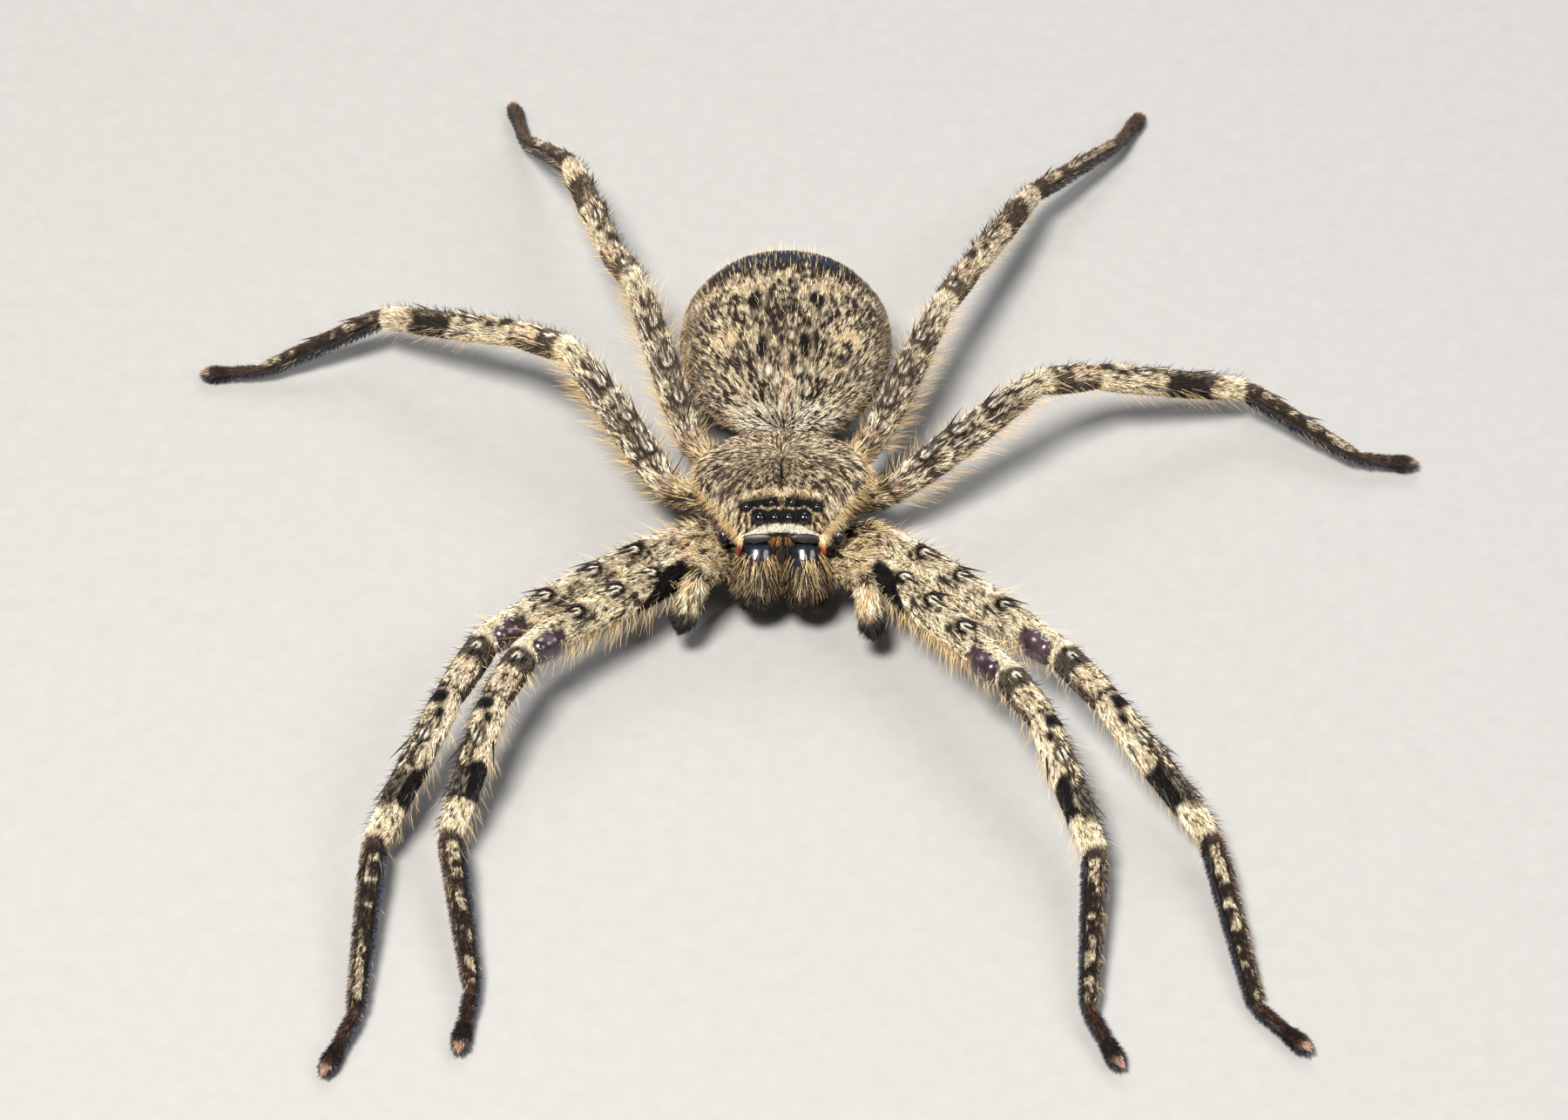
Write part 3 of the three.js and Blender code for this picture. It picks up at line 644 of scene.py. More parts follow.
def ringed_spots(colour, share, around_mm, length, radius, places, size=1.0):
    """White spots in a dark ring that is open towards the foot, each at the root of a spine."""
    for place, degrees in places:
        # How far each point is from the spot, in millimetres
        dx = (share - place) * length
        dy = around_mm - math.radians(degrees) * radius
        d = np.hypot(dx * 0.9, dy)
        smoke = 1 - ramp(np.hypot((dx + 0.1) * 0.8, dy), 0.5 * size, 0.95 * size)
        colour = mix(colour, BROWN, smoke * 0.45)
        open_side = (dx > 0.2) & (np.abs(dy) < 0.3 * size)
        ring = band(d, 0.27 * size, 0.58 * size, 0.06) * np.where(open_side, 0.2, 1.0)
        colour = mix(colour, BLACK, ring)
        colour = mix(colour, WHITE_HAIR, 1 - ramp(d, 0.2 * size, 0.3 * size))
        tail = band(dx, 0.15, 0.75, 0.08) * (1 - ramp(np.abs(dy), 0.1, 0.22))
        colour = mix(colour, PALE, tail * 0.9)
    return colour


def femur_colour(number, points, fine, share, degrees, around, length, radius):
    rear = 1 - ramp(degrees, -85, -30)
    # Painted shade: the underside of the femur gets more dark flecks (under)
    under = ramp(np.abs(degrees), 110, 150)
    cloud = layered_noise(points, 1.5, 31) - 0.5
    dark_share = 0.2 + 0.24 * rear + 0.2 * under + 0.6 * np.clip(cloud, 0, 1) + 0.34 * (number > 2)
    base = mix(blend(CREAM, GREY, 0.3 if number < 3 else 0.6), GREY, rear * 0.5)
    colour = mottled(base, fine, dark_share, 0.42 - 0.15 * rear, blend(BROWN, DARK, 0.5), PALE)
    colour = mix(colour, BROWN, ramp(noise(points, 0.5, 21), 0.78, 0.84) * 0.85)
    colour = mix(colour, PINK, (1 - ramp(share, 0.02, 0.1)) * 0.4)
    colour = ringed_spots(colour, share, around, length, radius, [(p, d) for p, d, _ in FEMUR_SPINES[:3]])
    for place, turn, _ in FEMUR_SPINES[3:]:
        dot = np.hypot((share - place) * length * 0.8, around - math.radians(turn) * radius)
        colour = mix(colour, blend(BROWN, DARK, 0.5), (1 - ramp(dot, 0.14, 0.3)) * 0.9)
    colour = mix(colour, PALE, band(share, 0.9, 0.985, 0.02) * ramp(fine, 0.2, 0.35) * 0.8)
    if number == 1:
        edge = (noise(points, 0.4, 25) - 0.5) * 0.05
        low_side = band(degrees + 300 * edge, 6 + 75 * ramp(share, 0.14, 0.38), 178, 7)
        colour = mix(colour, BLACK, band(share + edge, *FEMUR_PATCH, 0.02) * low_side)
    return colour


def patella_colour(points, fine, share, degrees, around, length, under):
    base = blend(CREAM, PINK, 0.35)
    colour = mottled(base, fine, 0.22, 0.35, BROWN, PALE)
    colour = mix(colour, DARK, band(share, *PATELLA_BAND, 0.04) * 0.9)
    colour = mix(colour, DARK, ramp(share, 0.4, 0.5) * band(np.abs(degrees), 62, 150, 12) * 0.9)
    colour = mix(colour, BROWN, (1 - ramp(degrees, -60, -36)) * 0.85)
    # Painted shade: the pale band stays off the underside
    colour = mix(colour, PALE, band(share, 0.03, 0.17, 0.03) * (1 - under))
    spot = np.hypot((share - PATELLA_SPOT) * length / 0.34, around / 0.22)
    colour = mix(colour, WHITE_HAIR, 1 - ramp(spot, 0.75, 1.15))
    colour = mix(colour, DARK, ramp(noise(points, 0.34, 27), 0.78, 0.85) * 0.85)
    return mix(colour, BLACK, ramp(share, 0.955, 0.98))


def tibia_colour(points, fine, share, degrees, around, length, under):
    edge = (noise(points, 0.6, 51) - 0.5) * 0.12
    base = blend(CREAM, GREY, 0.12)
    rear = 1 - ramp(degrees, 0, 30)
    # Painted shade: more dark flecks on the underside
    dark_share = 0.14 + 0.5 * rear * band(share, 0.2, 0.78, 0.04) + 0.2 * under
    colour = mottled(base, fine, dark_share, 0.36 - 0.2 * rear, blend(BROWN, DARK, 0.4), PALE)
    colour = mix(colour, BROWN, (1 - ramp(degrees, -80, -45)) * band(share, 0.03, 0.8, 0.03) * 0.75)
    smudge = band(share, 0.01, 0.11, 0.02) * band(degrees + 300 * edge, -70, 12, 8)
    smudge = np.maximum(smudge, band(share, 0.12, 0.2, 0.015) * band(degrees, -2, 32, 8))
    colour = mix(colour, BLACK, smudge)
    spot = np.hypot((share - TIBIA_SPOT) * length / 0.42, around / 0.22)
    colour = mix(colour, DARK, band(spot, 1.1, 1.8, 0.2) * 0.85)
    colour = mix(colour, WHITE_HAIR, 1 - ramp(spot, 0.75, 1.15))
    colour = mix(colour, DARK, band(share + edge, 0.55, 0.8, 0.03) * band(degrees, -160, 14, 14) * 0.8)
    dark_band = band(share + edge, *TIBIA_BAND, 0.025) * band(degrees + 200 * edge, 12, 160, 9)
    colour = mix(colour, BLACK, dark_band)
    end = ramp(share + edge * 0.4, TIBIA_PALE_END, TIBIA_PALE_END + 0.04)
    pale_end = mottled(CREAM, fine, 0.12, 0.5, BROWN, PALE)
    # Painted shade: the pale end is only half as pale on the underside
    colour = mix(colour, pale_end, end * (1 - 0.5 * under))
    colour = mix(colour, BROWN, end * ramp(noise(points, 0.3, 57), 0.76, 0.83) * 0.9)
    return mix(colour, blend(PINK, DARK, 0.6), ramp(share, 0.965, 0.985) * 0.7)


def metatarsus_colour(points, fine, share, degrees):
    front = degrees > 0
    base = blend(BROWN, DARK, 0.55)
    colour = mottled(base, fine, 0.4, 0.12, DARK, TAUPE)
    rear = (1 - ramp(degrees, -75, -40)) * ramp(degrees, -150, -120)
    colour = mix(colour, mottled(blend(TAUPE, PINK, 0.35), fine, 0.35, 0.2, BROWN, CREAM), rear * 0.8)
    row = band(degrees, -26, 34, 7) * ramp(noise(points, 0.5, 61), 0.44, 0.54)
    row = row * (1 - band(share, 0.3, 0.4, 0.02)) * band(share, 0.08, 0.97, 0.02)
    colour = mix(colour, mottled(CREAM, fine, 0.3, 0.35, BROWN, PALE), row * (1 - 0.35 * share))
    colour = mix(colour, blend(PINK, DARK, 0.85), (1 - ramp(share, 0.03, 0.09)) * 0.6)
    colour = mix(colour, BLACK, band(degrees, 40, 62, 7) * 0.85)
    sole = band(np.abs(degrees), 64, 181, 7) * ramp(share, 0.08, 0.13) * np.where(front, 1.0, 0.6)
    return mix(colour, SLATE, sole)


def tarsus_colour(fine, share, degrees):
    base = blend(BROWN, RUST, 0.15)
    colour = mottled(base, fine, 0.5, 0.1, DARK, TAUPE)
    colour = mix(colour, SLATE, band(np.abs(degrees), 60, 181, 10) * 0.8)
    colour = mix(colour, BLACK, band(share, 0.6, 0.9, 0.04) * 0.75)
    return mix(colour, PINK, ramp(share, 0.95, 1.0) * band(degrees, -50, 50, 15) * 0.8)


def coxa_colour(points, fine, under):
    base = blend(STRAW, CREAM, 0.4)
    colour = mottled(base, fine, 0.3, 0.3, BROWN, PALE)
    colour = mix(colour, BLACK, ramp(noise(points, 0.75, 71), 0.62, 0.7) * 0.9)
    # Painted shade: the coxa's underside is browner
    return mix(colour, BROWN, under * 0.6)


def leg_colour(sleeve, number, points, u, v):
    segment, share, length, radius = on_sleeve(sleeve, v)
    degrees = signed_degrees(u)
    around = np.radians(degrees) * radius
    fine = sleeve_flecks(sleeve, u, v, 0.095, 0.34, 3)
    # Painted shade: under marks the underside of each segment, which the segments keep darker
    under = ramp(np.abs(degrees), 108, 150)
    options = [coxa_colour(points, fine, under),
               femur_colour(number, points, fine, share, degrees, around, length, radius),
               patella_colour(points, fine, share, degrees, around, length, under),
               tibia_colour(points, fine, share, degrees, around, length, under),
               metatarsus_colour(points, fine, share, degrees),
               tarsus_colour(fine, share, degrees)]
    colour = np.choose(segment[:, None], options)
    if number in REAR_LEG_TAUPE:
        return mix(colour, TAUPE, np.full(len(points), REAR_LEG_TAUPE[number]))
    return mix(colour, PURPLE, bare_knee(segment, share, length, degrees))


def bare_knee(segment, share, length, degrees):
    """1 on the bare, wrinkled skin of the front of the knee."""
    before = (segment == FEMUR) * ramp((share - 1) * length, -KNEE_BEFORE - 0.15, -KNEE_BEFORE + 0.15)
    after = (segment == PATELLA) * (1 - ramp(share * length, KNEE_AFTER - 0.12, KNEE_AFTER + 0.13))
    return (before + after) * band(degrees, *KNEE_ROUND, 8)


def carapace_colour(points):
    x, y, z = points[:, 0], points[:, 1], points[:, 2]
    away = np.hypot(x, y - HAIR_CENTRE)
    bearing = np.arctan2(x, HAIR_CENTRE - y)
    place = np.stack([bearing * 3.4 / 0.07, away / 0.22, z / 1.5], axis=1)
    fine = flecks(place, 13)
    cloud = layered_noise(points, 1.3, 23) - 0.5
    edge = ramp(-z, -5.6, -5.1) * ramp(y, -2.6, -1.2)
    # Painted shade: the rear of the carapace, next to the abdomen, is browner and carries more dark flecks
    rear = ramp(y, 2.4, 4.4)
    base = mix(blend(TAUPE, GREY, 0.45), BROWN, rear * 0.35)
    dark_share = 0.36 + 0.5 * np.clip(cloud, 0, 1) + 0.15 * rear
    light_share = 0.34 - 0.4 * np.clip(cloud, 0, 1)
    colour = mottled(base, fine, dark_share, light_share, blend(BROWN, DARK, 0.5), blend(GREY, CREAM, 0.75))
    front_side = (1 - ramp(y, -2.4, -0.6)) * ramp(np.abs(x), 1.7, 2.8)
    colour = mix(colour, mottled(CREAM, fine, 0.2, 0.3, BROWN, PALE), front_side * 0.45)
    collar = band(y, -2.3, -1.72, 0.14) * (1 - ramp(np.abs(x), 2.1, 2.5))
    colour = mix(colour, mottled(blend(CREAM, GOLD, 0.3), fine, 0.15, 0.3, BROWN, PALE), collar * 0.85)
    for mark_x, mark_y, wide, long, turn in CARAPACE_MARKS:
        for side in (1, -1):
            dx, dy = x * side - mark_x, y - mark_y
            a = dx * math.cos(turn) + dy * math.sin(turn)
            b = -dx * math.sin(turn) + dy * math.cos(turn)
            spot = np.exp(-(a / wide) ** 2 - (b / long) ** 2)
            colour = mix(colour, DARK, ramp(spot * (0.5 + fine), 0.4, 0.6) * 0.9)
    colour = mix(colour, mottled(GOLD, fine, 0.4, 0.25, BROWN, CREAM), edge * 0.75)
    colour = mix(colour, BLACK, ramp(fovea(x, y), 0.25, 0.5))
    return face_colour(points, colour, fine)


def face_colour(points, colour, fine):
    x, y, z = points[:, 0], points[:, 1], points[:, 2]
    across = np.abs(x)
    eye_field = (1 - ramp(y, SLIT_FRONT - 0.02, SLIT_FRONT + 0.06)) * (1 - ramp(across, 2.4, 2.6))
    hair = mottled(blend(BROWN, STRAW, 0.55), fine, 0.35, 0.3, DARK, CREAM)
    colour = mix(colour, hair, eye_field)
    brow = band(across, 0.95, 2.2, 0.12) * band(y, SLIT_FRONT - 0.2, SLIT_FRONT - 0.02, 0.04)
    colour = mix(colour, PALE, brow * ramp(fine, 0.15, 0.35))
    colour = mix(colour, BLACK, slit_depth(across, y))
    colour = mix(colour, BLACK, eye_band(across, y))
    for place in EYES.values():
        d = np.sqrt((across - place[0]) ** 2 + (y - place[1]) ** 2 + (z - place[2]) ** 2)
        colour = mix(colour, BLACK, 1 - ramp(d, place[3] + 0.08, place[3] + 0.16))
    droop = 0.05 * across ** 2
    white = band(y + droop, WHITE_FRONT, WHITE_REAR, 0.03) * (1 - ramp(across, 2.5, 2.65))
    colour = mix(colour, WHITE_HAIR, white)
    below = 1 - ramp(y + droop, WHITE_FRONT - 0.04, WHITE_FRONT)
    return mix(colour, DARK, below * (1 - ramp(across, 2.3, 2.5)))


def eye_band(across, y):
    """1 inside the black band that holds the front eyes."""
    return band(across, -1.0, EYE_BAND_HALF, 0.08) * band(y, EYE_BAND_FRONT, EYE_BAND_REAR, 0.05)


def abdomen_colour(points, u):
    local = points - ABDOMEN_CENTRE
    x, y, z = local[:, 0], local[:, 1], local[:, 2]
    across = np.abs(x)
    turn = (u + 0.5) % 1.0 * 2 * np.pi
    place = np.stack([turn * 5.0 / 0.15, y / 0.3, np.full(len(u), 0.5)], axis=1)
    fine = flecks(place, 33)
    # How dark and how pale each area is
    cloud = layered_noise(points, 0.95, 43, 2) - 0.5
    wave = (noise(points, 1.2, 53) - 0.5) * 0.8
    middle = band(y + wave, -3.2, 0.4, 0.4)
    front = 1 - ramp(y, -5.0, -3.8)
    rear = ramp(y, 1.9, 2.8)
    dark_share = 0.4 + 0.2 * middle + 0.42 * rear + 1.0 * cloud
    light_share = 0.27 - 0.12 * middle * np.exp(-(x / 1.8) ** 2) + 0.2 * front - 0.24 * rear - 0.6 * cloud
    pale_band = band(y + wave * 0.5 + 0.1 * (2 - across), 0.55, 1.5, 0.2) * ramp(across, 0.5, 1.5)
    light_share = light_share + 0.34 * pale_band
    dark_share = dark_share * (1 - 0.65 * pale_band)
    patch = np.exp(-((across - 4.1) / 1.5) ** 2 - ((y + 2.3) / 0.75) ** 2)
    light_share = light_share + 0.6 * patch
    dark_share = dark_share * (1 - 0.6 * patch)
    second = np.exp(-((across - 3.4) / 1.1) ** 2 - ((y + 1.0) / 0.3) ** 2)
    light_share = light_share + 0.35 * second
    row = np.exp(-((across - 2.5) / 1.5) ** 2 - ((y + 5.7) / 0.42) ** 2)
    dark_share = dark_share + 0.5 * row
    tip = 1 - ramp(y, -6.3, -5.7)
    light_share = light_share + 0.2 * tip
    side = ramp(across, 3.8, 5.6)
    light_share = light_share * (1 - 0.5 * side)
    # Tones of the hair
    base = blend(ASH, TAUPE, 0.45)
    light = mix(blend(CREAM, ASH, 0.32), STRAW, 0.3 * patch + 0.15 * pale_band)
    light = mix(light, WHITE_HAIR, 0.7 * np.maximum(tip, front * np.exp(-(x / 2.4) ** 2) * 0.5))
    base = mix(base, blend(TAUPE, SLATE, 0.55), rear * 0.85)
    colour = mottled(base, fine, dark_share, light_share, blend(BROWN, DARK, 0.8), light)
    # Middle line, two ringed spots, rear edge, flanks, belly and sunk marks
    line = np.exp(-(x / 0.14) ** 2) * band(y, -6.6, -3.4, 0.3)
    colour = mix(colour, blend(CREAM, PINK, 0.6), line * 0.6)
    for pale_x in (-0.95, 0.75):
        spot = np.hypot(x - pale_x, (y + 4.75) * 0.85)
        colour = mix(colour, BROWN, band(spot, 0.26, 0.44, 0.06) * 0.7)
        colour = mix(colour, WHITE_HAIR, (1 - ramp(spot, 0.16, 0.26)) * 0.7)
    tail = ramp(y + 0.6 * wave, 2.9, 3.9) * ramp(z, -1.2, 1.4) * (1 - 0.75 * ramp(across, 2.6, 4.0))
    colour = mix(colour, NIGHT_BLUE, tail * (0.6 + 0.3 * fine))
    flank = ramp(-z, -0.3, 1.4)
    outer = np.hypot(across / ABDOMEN_HALF[0], np.maximum(y, 0) / ABDOMEN_HALF[1])
    margin = np.maximum(flank, ramp(outer, 0.8, 0.93))
    colour = mix(colour, blend(GREY, TAUPE, 0.6), margin * 0.55)
    belly = ramp(-z, 2.2, 3.4)
    colour = mix(colour, blend(STRAW, TAUPE, 0.6), belly * 0.7)
    for mark_x, mark_y, wide, long in SIGILLA:
        d = np.hypot((x - mark_x) / wide, (y - mark_y) / long)
        colour = mix(colour, blend(GREY, CREAM, 0.5), band(d, 1.2, 1.9, 0.2) * (z > 0) * 0.35)
        colour = mix(colour, BLACK, (1 - ramp(d, 0.95, 1.2)) * (z > 0))
    return colour


def jaw_colour(sleeve, points, u, v):
    segment, share = on_sleeve(sleeve, v)[:2]
    down = (segment + share) / 4
    fine = sleeve_flecks(sleeve, u, v, 0.1, 0.5, 91)
    base = mix(BROWN, GREY, ramp(noise(points, 0.5, 93), 0.5, 0.62) * 0.5)
    colour = mottled(base, fine, 0.5, 0.25, DARK, blend(STRAW, CREAM, 0.4))
    brush = mottled(blend(DARK, TAUPE, 0.12), fine, 0.5, 0.14, BLACK, TAUPE)
    return mix(colour, brush, ramp(down + 0.15 * (fine - 0.5), 0.52, 0.68))


def palp_colour(sleeve, points, u, v):
    segment, share = on_sleeve(sleeve, v)[:2]
    fine = sleeve_flecks(sleeve, u, v, 0.14, 0.36, 95)
    degrees = signed_degrees(u)
    cloud = noise(points, 0.6, 97) - 0.5
    base = blend(STRAW, CREAM, 0.35)
    colour = mottled(base, fine, 0.32 + 0.9 * cloud, 0.3, blend(BROWN, DARK, 0.5), PALE)
    colour = mix(colour, BLACK, band(degrees, -170, -60, 14) * 0.75)
    lower = segment == 1
    colour = mix(colour, DARK, lower * band(share, 0.02, 0.1, 0.02) * 0.85)
    tip = mottled(blend(DARK, SLATE, 0.4), fine, 0.5, 0.12, BLACK, TAUPE)
    return mix(colour, tip, lower * ramp(share, 0.62, 0.82))


def underside_colour(points):
    fine = flecks(points / np.array([0.12, 0.4, 0.4]), 99)
    base = blend(STRAW, BROWN, 0.55)
    return mottled(base, fine, 0.35, 0.2, DARK, CREAM)


def colour_of(kind, sleeve, points, u, v):
    """The markings at places on any sleeve, by what the sleeve is."""
    if kind.startswith("leg"):
        return leg_colour(sleeve, int(kind[-1]), points, u, v)
    if kind == "carapace":
        return carapace_colour(points)
    if kind in ("abdomen", "stalk"):
        return abdomen_colour(points, u)
    if kind == "jaw":
        return jaw_colour(sleeve, points, u, v)
    if kind == "palp":
        return palp_colour(sleeve, points, u, v)
    return underside_colour(points)


# Meshes

def set_colours(mesh, colours):
    layer = mesh.color_attributes.new("Markings", "FLOAT_COLOR", "POINT")
    rgba = np.ones((len(colours), 4), np.float32)
    rgba[:, :3] = np.clip(colours, 0, 1)
    layer.data.foreach_set("color", rgba.ravel())
    mesh.color_attributes.active_color = layer


def finished_piece(name, mesh):
    piece = bpy.data.objects.new(name, mesh)
    bpy.context.scene.collection.objects.link(piece)
    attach(piece, "root")
    return piece


def mesh_piece(name, points, faces, material, colours=None, places=None, smooth=True):
    """A finished piece from points in the body's millimetres and faces in groups of one shape."""
    mesh = bpy.data.meshes.new(name)
    world = (np.asarray(points, float) + MODEL_SHIFT) * MM
    mesh.vertices.add(len(world))
    mesh.vertices.foreach_set("co", world.astype(np.float32).ravel())
    flat = np.concatenate([group.ravel() for group in faces])
    sizes = np.concatenate([np.full(len(group), group.shape[1]) for group in faces])
    mesh.loops.add(len(flat))
    mesh.loops.foreach_set("vertex_index", flat.astype(np.int32))
    mesh.polygons.add(len(sizes))
    starts = np.concatenate([[0], np.cumsum(sizes)[:-1]])
    mesh.polygons.foreach_set("loop_start", starts.astype(np.int32))
    mesh.polygons.foreach_set("loop_total", sizes.astype(np.int32))
    mesh.update(calc_edges=True)
    mesh.validate()
    if colours is not None:
        set_colours(mesh, colours)
    if places is not None:
        layer = mesh.uv_layers.new(name="OFBake")
        layer.data.foreach_set("uv", places[flat].astype(np.float32).ravel())
    mesh.polygons.foreach_set("use_smooth", np.full(len(sizes), smooth))
    mesh.materials.append(material)
    return finished_piece(name, mesh)


def skin_piece(name, parts, material):
    """One skin over several sleeves, each closed at both ends by a fan. Parts are (kind, sleeve)."""
    points, faces, colours, places = [], [], [], []
    first = 0
    for kind, sleeve in parts:
        flat = sleeve.points.reshape(-1, 3)
        u = np.tile(np.arange(sleeve.around) / sleeve.around, sleeve.rings)
        v = np.repeat(np.linspace(0, 1, sleeve.rings), sleeve.around)
        shade = colour_of(kind, sleeve, flat, u, v)
        quads = sleeve.faces(first)
        a, b, d = (flat[quads[:, k] - first] for k in (0, 1, 3))
        inward = np.sum(np.cross(b - a, d - a) * sleeve.normals.reshape(-1, 3)[quads[:, 0] - first]) < 0
        points.append(flat)
        faces.append(quads[:, ::-1] if inward else quads)
        colours.append(shade)
        places.append(sleeve.tile_place(u, v))
        index = np.arange(sleeve.around)
        for k, ring in enumerate((0, sleeve.rings - 1)):
            start = first + ring * sleeve.around
            hub = np.full(sleeve.around, first + len(flat) + k)
            fan = np.stack([start + index, start + (index + 1) % sleeve.around, hub], axis=1)
            points.append(sleeve.points[ring].mean(axis=0, keepdims=True))
            faces.append(fan[:, ::-1] if inward != (k == 1) else fan)
            colours.append(shade[[-k]])
            places.append(sleeve.tile_place(np.array([0.5]), np.array([float(k)])))
        first += len(flat) + 2
    return mesh_piece(name, np.concatenate(points), faces, material, np.concatenate(colours),
                      np.concatenate(places))


def tufts(sleeve, kind, count, draw, style, weight=None, lie_change=None, dark_share=0.26):
    """Arrays of slender closed tufts, four faces each, rooted under the skin."""
    root, normal, lie, u, v = sleeve.sample(count, draw, weight)
    if lie_change is not None:
        lie = lie_change(root, normal, lie, u, v)
        lie = unit(lie - normal * np.sum(lie * normal, axis=1, keepdims=True))
    length, width, lift = style(root, u, v, draw)
    sway = (noise(root, 0.5, 7) - 0.5) * 0.9 + draw.normal(0, 0.14, count)
    across = np.cross(normal, lie)
    heading = unit(lie * np.cos(sway)[:, None] + across * np.sin(sway)[:, None])
    side = np.cross(normal, heading)
    way = heading * np.cos(lift)[:, None] + normal * np.sin(lift)[:, None]

    # A tuft takes the colour of the place that its middle covers
    middle = root + heading * (length * 0.5)[:, None]
    if lie_change is None:
        middle_v = np.clip(v + length * 0.5 / sleeve_length(sleeve), 0, 1)
    else:
        middle_v = v
    colour = colour_of(kind, sleeve, middle, u, middle_v)
    tone = np.exp(draw.normal(0, 0.2, count))[:, None]
    warm = 1 + draw.normal(0, 0.04, count)[:, None] * np.array([1.0, 0.2, -1.0])
    colour = colour * tone * warm
    dark = (draw.random(count) < dark_share) * draw.uniform(0.4, 0.85, count)
    dark = dark * (colour.mean(axis=1) < CLEAN_WHITE)
    colour = mix(colour, blend(DARK, BROWN, 0.3), dark)

    base = root - normal * 0.05
    half = (width / 2)[:, None]
    left = base - side * half
    right = base + side * half
    crest = root + normal * (width * 0.55)[:, None] + heading * (length * 0.3)[:, None]
    tip = root + way * length[:, None]
    tip[:, 2] = np.clip(tip[:, 2], LOWEST_TIP, HIGHEST_TIP)
    points = np.stack([left, right, crest, tip], axis=1).reshape(-1, 3)
    start = np.arange(count)[:, None] * 4
    faces = np.concatenate([start + corners for corners in TUFT_FACES])
    # Painted shade: each tuft is darkened to 0.4 at its two root points, where the hairs shade one another,
    # and made a little paler at its tip
    shade = np.stack([colour * 0.4, colour * 0.4, colour, colour * 1.1], axis=1).reshape(-1, 3)
    place = sleeve.tile_place(u, v)
    places = (place[:, None, :] + TUFT_PATCH).reshape(-1, 2)
    return points, faces, shade, places


def sleeve_length(sleeve):
    middle = sleeve.points.mean(axis=1)
    return np.sum(np.linalg.norm(np.diff(middle, axis=0), axis=1))


def coat_piece(name, batches):
    """One piece of the coat from several batches of tufts."""
    firsts = np.cumsum([0] + [len(batch[0]) for batch in batches[:-1]])
    faces = np.concatenate([batch[1] + first for batch, first in zip(batches, firsts)])
    points, _, colours, places = (np.concatenate(part) for part in zip(*batches))
    mesh_piece(name, points, [faces], COAT, colours, places, smooth=False)


# Materials

def add_node(tree, kind, inputs=None, **settings):
    """Makes a node, with its inputs linked to sockets or set to values, and gives its outputs."""
    node = tree.nodes.new(kind)
    for label, value in settings.items():
        setattr(node, label, value)
    for label, value in (inputs or {}).items():
        if isinstance(value, bpy.types.NodeSocket):
            tree.links.new(value, node.inputs[label])
        else:
            node.inputs[label].default_value = value
    return node.outputs


def new_material(name, roughness, specular=0.5):
    material = bpy.data.materials.new(name)
    material.use_nodes = True
    shader = material.node_tree.nodes["Principled BSDF"]
    shader.inputs["Roughness"].default_value = roughness
    shader.inputs["Specular IOR Level"].default_value = specular
    return material, material.node_tree, shader


def object_noise(tree, scale):
    place = add_node(tree, "ShaderNodeTexCoord")["Object"]
    return add_node(tree, "ShaderNodeTexNoise", {"Vector": place, "Scale": scale, "Detail": 3.0})["Fac"]


def add_bump(tree, shader, height, strength, distance):
    bump = add_node(tree, "ShaderNodeBump", {"Height": height, "Strength": strength, "Distance": distance})
    tree.links.new(bump["Normal"], shader.inputs["Normal"])


def tint(tree, shader, grain, tones, stops=(0.0, 1.0)):
    """Base colour between two tones, by the grain."""
    tones_node = tree.nodes.new("ShaderNodeValToRGB")
    for element, tone, stop in zip(tones_node.color_ramp.elements, tones, stops):
        element.position = stop
        element.color = tone
    tree.links.new(grain, tones_node.inputs["Fac"])
    tree.links.new(tones_node.outputs["Color"], shader.inputs["Base Color"])


def coloured_by_markings(tree, shader, grain_scale, low, high):
    """Base colour from the markings, varied by fine grain."""
    marks = add_node(tree, "ShaderNodeAttribute", attribute_name="Markings")["Color"]
    grain = object_noise(tree, grain_scale)
    spread = add_node(tree, "ShaderNodeMapRange", {"Value": grain, "From Min": 0.3, "From Max": 0.7,
                                                   "To Min": low, "To Max": high})["Result"]
    shade = add_node(tree, "ShaderNodeVectorMath", {0: marks, "Scale": spread}, operation="SCALE")["Vector"]
    tree.links.new(shade, shader.inputs["Base Color"])
    return grain


def coat_material():
    material, tree, shader = new_material("coat_hair", 0.6, 0.2)
    coloured_by_markings(tree, shader, 2600.0, 0.85, 1.15)
    return material


def hairy_skin_material():
    """The skin under the coat: the same markings, much darker, as painted shade in the gaps between the
    tufts.
    """
    material, tree, shader = new_material("hairy_skin", 0.8, 0.15)
    # Painted shade: the markings are scaled down to about a third on the skin under the coat
    grain = coloured_by_markings(tree, shader, 3400.0, 0.273, 0.441)
    add_bump(tree, shader, grain, 0.6, 0.00012)
    return material


def tinted_gloss(name, dark, light, roughness, grain_scale, bump=0.15, coat=0.0):
    """Bare horn, skin or lens: two near tones, with grain in its gloss and its surface."""
    material, tree, shader = new_material(name, roughness)
    grain = object_noise(tree, grain_scale)
    tint(tree, shader, grain, ((*dark, 1), (*light, 1)), (0.35, 0.68))
    rough = add_node(tree, "ShaderNodeMapRange", {"Value": grain, "To Min": max(0.02, roughness - 0.08),
                                                  "To Max": roughness + 0.12})["Result"]
    tree.links.new(rough, shader.inputs["Roughness"])
    shader.inputs["Coat Weight"].default_value = coat
    shader.inputs["Coat Roughness"].default_value = 0.08
    add_bump(tree, shader, grain, bump, 0.00005)
    return material


